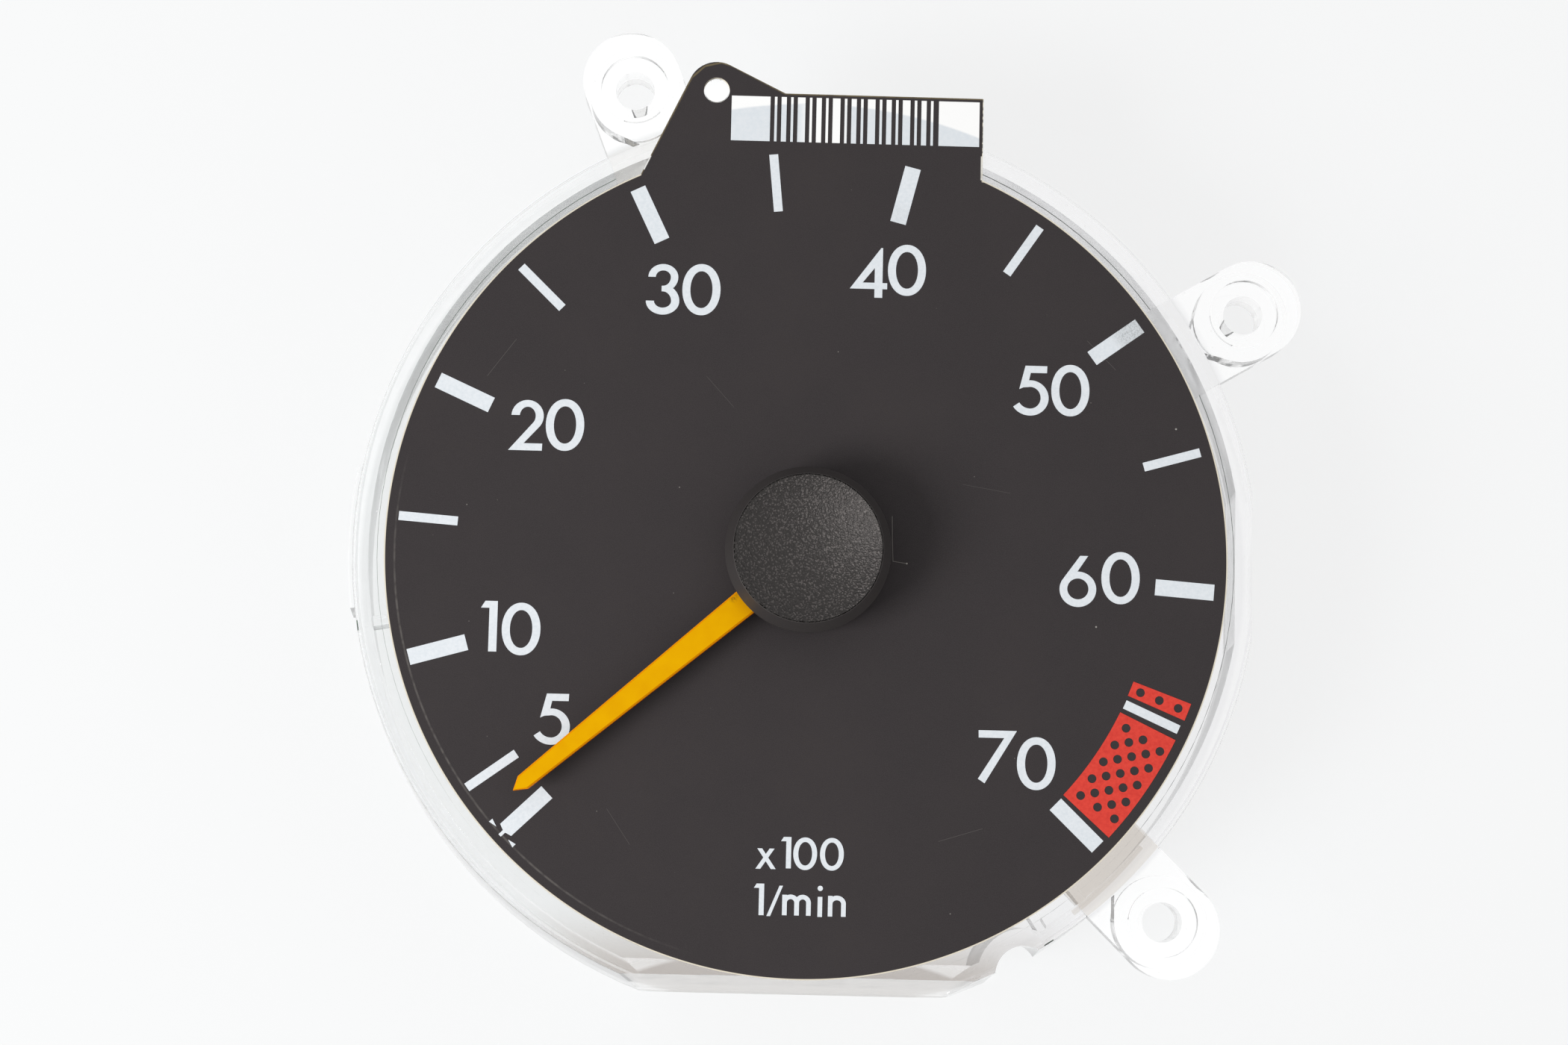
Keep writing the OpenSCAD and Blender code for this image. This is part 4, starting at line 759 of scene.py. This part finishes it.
def digit_5():
    return [[(-0.68, 2.98), (1.93, 2.98), (1.9, 2.14), (-0.04, 2.13), (-0.24, 1.19),
             *arc(-0.07, -0.9, 2.2, 2.13, 94, -90, 30),
             *arc(-0.07, -0.9, 2.35, 2.13, -90, -149.4, 10)[1:],
             *arc(-0.07, -0.874, 1.45, 1.31, -152.7, -90, 10),
             *arc(-0.07, -0.874, 1.245, 1.31, -90, 102, 28)[1:],
             (-0.9, 0.36), (-1.394, 0.14)]]


def digit_6():
    return [[*arc(0.023, -0.953, 2.18, 2.108, 150, 452, 52), (1.20, 3.04), (0.25, 3.04)],
            arc(0.02, -0.908, 1.258, 1.245, 0, 354, 44)]


def digit_7():
    return [[(-2.26, 3.07), (2.255, 3.07), (-1.475, -3.16), (-2.265, -2.637), (0.777, 2.204),
             (-2.238, 2.203)]]


# Size of the units' figures over the numerals'
SMALL = 0.612


def small(glyph):
    return [[(x * SMALL, y * SMALL) for x, y in loop] for loop in glyph]


def small_x():
    return [[(-1.01, 1.19), (-0.435, 1.19), (0, 0.553), (0.435, 1.19), (1.01, 1.19), (0.2875, 0.132),
             (1.19, -1.19), (0.615, -1.19), (0, -0.289), (-0.615, -1.19), (-1.19, -1.19), (-0.2875, 0.132)]]


def small_slash():
    return [[(-0.93, -1.78), (0.53, 1.78), (0.94, 1.78), (-0.50, -1.78)]]


def small_m():
    return [[(-1.68, -1.21), (-1.68, 1.17), (-1.13, 1.17), *arc(-0.695, 0.25, 0.995, 0.96, 116, 44, 10),
             *arc(0.715, 0.25, 0.965, 0.96, 136, 0, 18)[1:], (1.68, -1.21), (1.13, -1.21),
             *arc(0.715, 0.25, 0.415, 0.43, 0, 180, 16), (0.30, -1.21), (-0.26, -1.21),
             *arc(-0.695, 0.25, 0.435, 0.43, 0, 180, 16), (-1.13, -1.21)]]


def small_i():
    return [[(-0.27, -1.165), (-0.27, 1.165), (0.27, 1.165), (0.27, -1.165)]]


def small_dot():
    return [oval(0.31, 0.31, 2.0, 24)]


def small_n():
    return [[(-1.055, -1.22), (-1.055, 1.18), (-0.525, 1.18), *arc(-0.015, 0.26, 1.055, 0.96, 119, 0, 18),
             (1.04, -1.22), (0.495, -1.22), *arc(-0.015, 0.26, 0.51, 0.43, 0, 180, 16), (-0.525, -1.22)]]


# Glyph and the centre of its box on the dial
NUMERALS = (
    (digit_7(), 22.95, -23.41), (digit_0(), 27.54, -24.12), (digit_6(), 32.18, -2.42),
    (digit_0(), 37.26, -1.92), (digit_5(), 26.30, 20.33), (digit_0(), 31.02, 20.44),
    (digit_4(), 6.66, 34.09), (digit_0(), 11.23, 34.51), (digit_3(), -17.93, 31.41),
    (digit_0(), -13.32, 31.49), (digit_2(), -33.72, 14.57), (digit_0(), -29.09, 14.71),
    (digit_1(), -37.32, -9.48), (digit_0(), -33.50, -9.73), (digit_5(), -29.53, -20.24),
)
UNITS = (
    (small_x(), -4.03, -35.98), (small(digit_1()), -1.67, -35.22), (small(digit_0()), 0.58, -35.30),
    (small(digit_0()), 3.71, -35.29), (small(digit_1()), -4.73, -40.72), (small_slash(), -2.87, -40.86),
    (small_m(), -0.31, -41.29), (small_i(), 2.43, -41.44), (small_dot(), 2.43, -39.29),
    (small_n(), 4.42, -41.31),
)


def add_dial_print(bm, loops):
    """A flat shape with holes, printed on the dial."""
    add_prism(bm, loops, DIAL_TOP, DIAL_TOP + PRINT_T)


def add_glyphs(name, glyphs, material):
    bm = bmesh.new()
    for glyph, x, y in glyphs:
        add_dial_print(bm, [[(px + x, py + y) for px, py in loop] for loop in glyph])
    add_piece(name, bm, material)


def tab_bars(material):
    """The tab's printed field: two blocks and an even rhythm of bars that encodes nothing."""
    bottom, top = 49.86, 55.35
    left_block, right_block = (-10.27, -5.60), (14.73, 19.64)
    widths, space = (0.30, 0.62, 0.30, 0.92), 0.52
    bars = [left_block, right_block]
    x, k = left_block[1] + space, 0
    while x + widths[k % 4] < right_block[0] - space / 2:
        bars.append((x, x + widths[k % 4]))
        x, k = x + widths[k % 4] + space, k + 1
    bm = bmesh.new()
    for low, high in bars:
        add_dial_print(bm, [[(low, bottom), (high, bottom), (high, top), (low, top)]])
    add_piece("tab_bars", bm, material)


# Dressing of the board: wires, solder, colour bands and printed outlines

BOARD_FRONT = 8.0
COMPONENT_WIRE_R = 0.33
STANDOFF = 0.4
WIRE_BEND_R = 0.6
# Where a wire begins, counted outwards from its body's end, and how far it runs from there
ROUND_WIRE = (-0.2, 1.6)
CAN_WIRE = (0.02, 1.38)
CAN_WIRE_Y = 1.2
# Each place is x, y and the turn in degrees
RESISTORS = ((-18, 30, 0), (-18, 34.5, 0), (-8, 26, 90), (6, 28, 90), (11, 28, 90), (24, -6, 90),
             (28.5, -6, 90), (24, -19, 90), (-20, -5, 90), (-40, 14, 90))
DIODES = ((-2, 30, 90), (2, 36, 0), (38, -12, 90))
POWER_RESISTORS = ((29, -25, 45),)
CAN_CAPACITORS = ((-24, -24, 35), (-31, -17, 35))
FILM_CAPACITORS = ((22, 27, 0), (33, 12, 90), (33, 2, 90))
CHIP = (-31, 9, 90)
TRIMMER = (23.5, 34, 0)
PLUG = (0, -38, 0)
RESISTOR_R, RESISTOR_L = 1.2, 6.4
POWER_RESISTOR_R, POWER_RESISTOR_L = 2.28, 11.52
DIODE_R, DIODE_L = 1.32, 4.608
CAN_CAPACITOR_R, CAN_CAPACITOR_L = 2.5, 11.0
# How far the axis of each lying body is from the board
RESISTOR_DROP = STANDOFF + RESISTOR_R
POWER_RESISTOR_DROP = STANDOFF + 2 * RESISTOR_R
DIODE_DROP = STANDOFF + DIODE_R
CAN_CAPACITOR_DROP = STANDOFF + CAN_CAPACITOR_R
CHIP_LEGS, CHIP_PITCH, CHIP_LEG_Y = 8, 2.54, 3.76
CHIP_HALF_WIDTH = 3.16
FILM_LEG_X = 7.2 * 0.35
TERMINAL_ANGLES = (62, 118, 242, 298)
TERMINAL_PITCH_R = 16.4
BOARD_HOLE_R = 14.7
# Profiles of the solder: radius and height
WIRE_SOLDER = ((0, -0.02), (0.92, -0.02), (0.84, 0.08), (0.52, 0.34), (0.38, 0.7), (0.32, 0.95), (0, 1.0))
PIN_SOLDER = ((0, -0.02), (1.15, -0.02), (1.05, 0.1), (0.72, 0.4), (0.5, 0.8), (0, 0.82))
# How far rings are sunk into their body, and how far bands and marks stand out
RING_SUNK, BAND_PROUD, MARK_PROUD = 0.03, 0.025, 0.02
# Thickness of the layers on the board's rear face, and how far they are sunk into it
TRACK_T, PAD_T, OUTLINE_T, LAYER_SUNK = 0.03, 0.045, 0.025, 0.01
PAD_R = 0.95
TRACK_WIDTH = 1.0
# How far apart the wires are that a track joins, and the least length of its parts
TRACK_NEAR, TRACK_FAR, TRACK_PART = 2.6, 13, 0.8
# Radius and width of each long curved track, and the directions of its two ends
CURVED_TRACKS = ((46.6, 1.6, -62, 40), (BOARD_HOLE_R + 2.9, 1.2, 128, 232))
OUTLINE_WIDTH = 0.22
BAND_COLOURS = {
    "black": (34, 32, 32), "brown": (98, 54, 30), "red": (176, 34, 30), "orange": (214, 104, 26),
    "yellow": (220, 186, 40), "violet": (104, 62, 132), "gold": (176, 142, 72),
}
# The bands' middles and half width over a resistor's length, and its waist over its end's radius
BAND_PLACES, BAND_HALF = (-0.385, -0.14, 0.04, 0.385), 0.038
WAIST = 0.84
# Each resistor's four bands, in the order of RESISTORS
RESISTOR_BANDS = (
    "brown black red gold", "yellow violet red gold", "red red brown gold", "brown black orange gold",
    "orange orange red gold", "yellow violet brown gold", "brown black orange gold",
    "red violet orange gold", "brown black red gold", "orange orange brown gold",
)
POWER_RESISTOR_BANDS = ("yellow violet red gold",)


def local(place):
    """The matrix from a component's own axes to the shared frame, in millimetres."""
    x, y, turn = place
    return Matrix.Translation((x, y, BOARD_REAR)) @ Matrix.Rotation(math.radians(turn), 4, "Z")


def lying(place, drop):
    """The matrix of a round body that lies along the component's X, drop below the board."""
    return local(place) @ Matrix.Translation((0, 0, -drop)) @ Matrix.Rotation(math.pi / 2, 4, "Y")


def circle_points(bm, matrix, radius, z, sides, start=0.0, end=2 * math.pi, closed=True):
    """New vertices on a circle or arc about local Z."""
    count = sides if closed else sides + 1
    out = []
    for i in range(count):
        a = start + (end - start) * i / sides
        out.append(bm.verts.new((matrix @ Vector((radius * math.cos(a), radius * math.sin(a), z))) * MM))
    return out


def join_rings(bm, a, b):
    for i in range(len(a)):
        j = (i + 1) % len(a)
        bm.faces.new([a[i], a[j], b[j], b[i]])


def tube_along(bm, points, radius, sides=12):
    """A closed round tube through points, in millimetres."""
    rings = []
    for k, point in enumerate(points):
        ahead = points[min(k + 1, len(points) - 1)] - points[max(k - 1, 0)]
        matrix = Matrix.Translation(point) @ ahead.to_track_quat("Z", "Y").to_matrix().to_4x4()
        rings.append(circle_points(bm, matrix, radius, 0, sides))
    for a, b in zip(rings, rings[1:]):
        join_rings(bm, a, b)
    bm.faces.new(list(reversed(rings[0])))
    bm.faces.new(rings[-1])


def turned(bm, profile, matrix, sides=32):
    """A solid of revolution about local Z from (radius, z) points that start and end on the axis."""
    rings = []
    for radius, z in profile:
        if radius == 0:
            rings.append([bm.verts.new((matrix @ Vector((0, 0, z))) * MM)])
        else:
            rings.append(circle_points(bm, matrix, radius, z, sides))
    for a, b in zip(rings, rings[1:]):
        if len(a) == len(b):
            join_rings(bm, a, b)
            continue
        tip, edge = (a[0], b) if len(a) == 1 else (b[0], a)
        for i in range(sides):
            bm.faces.new([tip, edge[i], edge[(i + 1) % sides]])


def ring(bm, matrix, inner, outer, low, high, sides=40):
    """A thin sleeve about local Z."""
    rings = [circle_points(bm, matrix, radius, z, sides)
             for radius, z in ((inner, low), (outer, low), (outer, high), (inner, high))]
    for k in range(4):
        join_rings(bm, rings[k], rings[(k + 1) % 4])


def sleeve_strip(bm, matrix, inner, outer, low, high, start, end):
    """A part of a sleeve about local Z, between two angles in degrees."""
    sides = 16
    arcs = [circle_points(bm, matrix, radius, z, sides, math.radians(start), math.radians(end), False)
            for radius, z in ((inner, low), (outer, low), (outer, high), (inner, high))]
    for k in range(4):
        a, b = arcs[k], arcs[(k + 1) % 4]
        for i in range(sides):
            bm.faces.new([a[i], a[i + 1], b[i + 1], b[i]])
    for i in (0, -1):
        bm.faces.new([arc_points[i] for arc_points in arcs])


def wire_points(start, drop, run):
    """A wire in a component's own axes: out along X, round a bend and down to the board."""
    bend = WIRE_BEND_R
    points = [Vector((start + run * k, 0, -drop)) for k in (0.0, (run - bend) / run)]
    for k in range(1, 9):
        a = math.pi / 2 * k / 8
        out, up = bend * math.sin(a), bend - bend * math.cos(a)
        points.append(Vector((start + run - bend + out, 0, -drop + up)))
    points.append(Vector((start + run, 0, -0.02)))
    return points


def component_wires():
    """The path of every bent wire, which ends where the wire enters the board."""
    paths = []
    groups = ((RESISTORS, RESISTOR_L, RESISTOR_DROP), (DIODES, DIODE_L, DIODE_DROP),
              (POWER_RESISTORS, POWER_RESISTOR_L, POWER_RESISTOR_DROP))
    begin, run = ROUND_WIRE
    for places, length, drop in groups:
        for place in places:
            for turn in (0, math.pi):
                matrix = local(place) @ Matrix.Rotation(turn, 4, "Z")
                paths.append([matrix @ p for p in wire_points(length / 2 + begin, drop, run)])
    begin, run = CAN_WIRE
    for place in CAN_CAPACITORS:
        for side in (-1, 1):
            shift = Matrix.Translation((0, side * CAN_WIRE_Y, 0))
            matrix = local(place) @ Matrix.Rotation(math.pi, 4, "Z") @ shift
            points = wire_points(CAN_CAPACITOR_L / 2 + begin, CAN_CAPACITOR_DROP, run)
            paths.append([matrix @ p for p in points])
    return paths


def dress_wires(materials):
    """The bent wires as one piece; returns where each enters the board."""
    bm = bmesh.new()
    paths = component_wires()
    for path in paths:
        tube_along(bm, path, COMPONENT_WIRE_R)
    add_piece("component_wires", bm, materials["tinned"], True)
    return [path[-1] for path in paths]


def dress_resistors(materials):
    """The resistors' colour bands."""
    found = {name: bmesh.new() for name in BAND_COLOURS}
    groups = ((RESISTORS, RESISTOR_BANDS, RESISTOR_R, RESISTOR_L, RESISTOR_DROP),
              (POWER_RESISTORS, POWER_RESISTOR_BANDS, POWER_RESISTOR_R, POWER_RESISTOR_L,
               POWER_RESISTOR_DROP))
    for places, rows, radius, length, drop in groups:
        waist, half = WAIST * radius, BAND_HALF * length
        for place, row in zip(places, rows):
            matrix = lying(place, drop)
            for name, middle, at in zip(row.split(), BAND_PLACES, (radius, waist, waist, radius)):
                low, high = middle * length - half, middle * length + half
                ring(found[name], matrix, at - RING_SUNK, at + BAND_PROUD, low, high)
    for name, bm in found.items():
        add_piece("bands_" + name, bm, materials["band_" + name], True)


def dress_marks(materials):
    """The diodes' end marks and the capacitors' stripes and tops."""
    bm = bmesh.new()
    for place in DIODES:
        ring(bm, lying(place, DIODE_DROP), DIODE_R - RING_SUNK, DIODE_R + MARK_PROUD, 1.05, 1.65)
    add_piece("diode_marks", bm, materials["mark"], True)
    stripes, tops = bmesh.new(), bmesh.new()
    half = CAN_CAPACITOR_L / 2
    low, high, crest = half - 0.02, half + 0.03, half + 0.07
    top = [(0, low), (2.0, low), (2.0, high), (1.85, crest), (1.7, high), (0, high)]
    for place in CAN_CAPACITORS:
        matrix = lying(place, CAN_CAPACITOR_DROP)
        sleeve_strip(stripes, matrix, CAN_CAPACITOR_R - RING_SUNK, CAN_CAPACITOR_R + MARK_PROUD,
                     0.35 - half + 2.6, half - 0.35, 18, 62)
        turned(tops, top, matrix)
    add_piece("capacitor_stripes", stripes, materials["mark"], True)
    add_piece("capacitor_tops", tops, materials["tinned"])


def dress_solder(materials, feet):
    """Solder cones on the board's front at every wire, and on its rear round the terminal pins."""
    places = [(foot.x, foot.y) for foot in feet]
    legs = [local(CHIP) @ Vector(((k - (CHIP_LEGS - 1) / 2) * CHIP_PITCH, side * CHIP_LEG_Y, 0))
            for k in range(CHIP_LEGS) for side in (-1, 1)]
    legs += [local(place) @ Vector((side * FILM_LEG_X, 0, 0))
             for place in FILM_CAPACITORS for side in (-1, 1)]
    places += [(leg.x, leg.y) for leg in legs]
    bm = bmesh.new()
    for x, y in places:
        turned(bm, WIRE_SOLDER, Matrix.Translation((x, y, BOARD_FRONT)), 24)
    for angle in TERMINAL_ANGLES:
        spot = Matrix.Translation((*polar(TERMINAL_PITCH_R, angle), BOARD_REAR))
        turned(bm, PIN_SOLDER, spot @ Matrix.Rotation(math.pi, 4, "X"), 28)
    add_piece("solder", bm, materials["solder"], True)


def track_loop(points, width):
    """The outline of a flat track of a width along points, with square ends."""
    sides = ([], [])
    for k, point in enumerate(points):
        before = (point - points[k - 1]).normalized() if k else (points[1] - point).normalized()
        after = (points[k + 1] - point).normalized() if k + 1 < len(points) else before
        middle = (before + after).normalized()
        across = Vector((-middle.y, middle.x)) * (width / 2 / max(middle.dot(after), 0.5))
        end = -before if k == 0 else before if k + 1 == len(points) else Vector((0, 0))
        for side, sign in zip(sides, (1, -1)):
            side.append(point + across * sign + end * width / 2)
    return [(p.x, p.y) for p in (*sides[0], *reversed(sides[1]))]


def add_layer(bm, loops, thickness):
    """A flat shape with holes, as a thin layer on the board's rear face."""
    add_prism(bm, loops, BOARD_REAR - thickness, BOARD_REAR + LAYER_SUNK)


def dress_tracks(materials, feet):
    """Copper tracks under the lacquer between near wires, with a tinned pad round each wire."""
    spots = [Vector((foot.x, foot.y)) for foot in feet]
    bm, pads = bmesh.new(), bmesh.new()
    joined = set()
    for k, spot in enumerate(spots):
        # Two wires in a row belong to one component
        others = [j for j in range(len(spots)) if j // 2 != k // 2 and j not in joined]
        near = min(others, key=lambda j: (spots[j] - spot).length)
        gap = spots[near] - spot
        if k in joined or not TRACK_NEAR < gap.length < TRACK_FAR:
            continue
        joined.update((k, near))
        slant = min(abs(gap.x), abs(gap.y))
        corner = spot + Vector((math.copysign(slant, gap.x), math.copysign(slant, gap.y)))
        bent = slant > TRACK_PART and gap.length - slant * 1.41 > TRACK_PART
        path = [spot, corner, spots[near]] if bent else [spot, spots[near]]
        add_layer(bm, [track_loop(path, TRACK_WIDTH)], TRACK_T)
    for spot in spots:
        ring(pads, Matrix.Translation((spot.x, spot.y, 0)), COMPONENT_WIRE_R, PAD_R,
             BOARD_REAR - PAD_T, BOARD_REAR + LAYER_SUNK, 28)
    for radius, width, start, end in CURVED_TRACKS:
        points = [Vector(p) for p in arc(0, 0, radius, radius, start, end, 40)]
        add_layer(bm, [track_loop(points, width)], TRACK_T)
    add_piece("board_tracks", bm, materials["track"])
    add_piece("board_pads", pads, materials["solder"])


def outline(bm, place, half_x, half_y):
    """A printed rectangle round a component on the board's rear face."""
    matrix = local(place)
    loops = []
    for x, y in ((half_x, half_y), (half_x - OUTLINE_WIDTH, half_y - OUTLINE_WIDTH)):
        corners = [matrix @ Vector((sx * x, sy * y, 0)) for sx, sy in CORNERS]
        loops.append([(p.x, p.y) for p in corners])
    add_layer(bm, loops, OUTLINE_T)


def dress_outlines(materials):
    """Printed rectangles round the components, and a circle round the hole."""
    bm = bmesh.new()
    groups = ((RESISTORS, RESISTOR_L / 2 + 0.5, 1.75), (POWER_RESISTORS, POWER_RESISTOR_L / 2 + 0.5, 2.9),
              (DIODES, DIODE_L / 2 + 0.5, 1.8), (CAN_CAPACITORS, CAN_CAPACITOR_L / 2 + 0.4, 3.0),
              (FILM_CAPACITORS, 4.1, 1.8), ((CHIP,), 10.2, 4.6), ((TRIMMER,), 4.0, 4.0),
              ((PLUG,), 10.7, 3.2))
    for places, half_x, half_y in groups:
        for place in places:
            outline(bm, place, half_x, half_y)
    circles = [oval(BOARD_HOLE_R + gap, BOARD_HOLE_R + gap, 2.0, 96) for gap in (0.9, 0.65)]
    add_layer(bm, circles, OUTLINE_T)
    add_piece("board_outlines", bm, materials["mark"])


def main():
    make_camera()
    make_world()
    make_floor()
    make_lamp()
    materials = make_materials()
    dress_nodes(materials)
    add_glyphs("numerals", NUMERALS, materials["white"])
    add_glyphs("units", UNITS, materials["white"])
    tab_bars(materials["label"])
    feet = dress_wires(materials)
    dress_resistors(materials)
    dress_marks(materials)
    dress_solder(materials, feet)
    dress_tracks(materials, feet)
    dress_outlines(materials)
    bpy.context.scene.view_settings.view_transform = "Standard"


main()
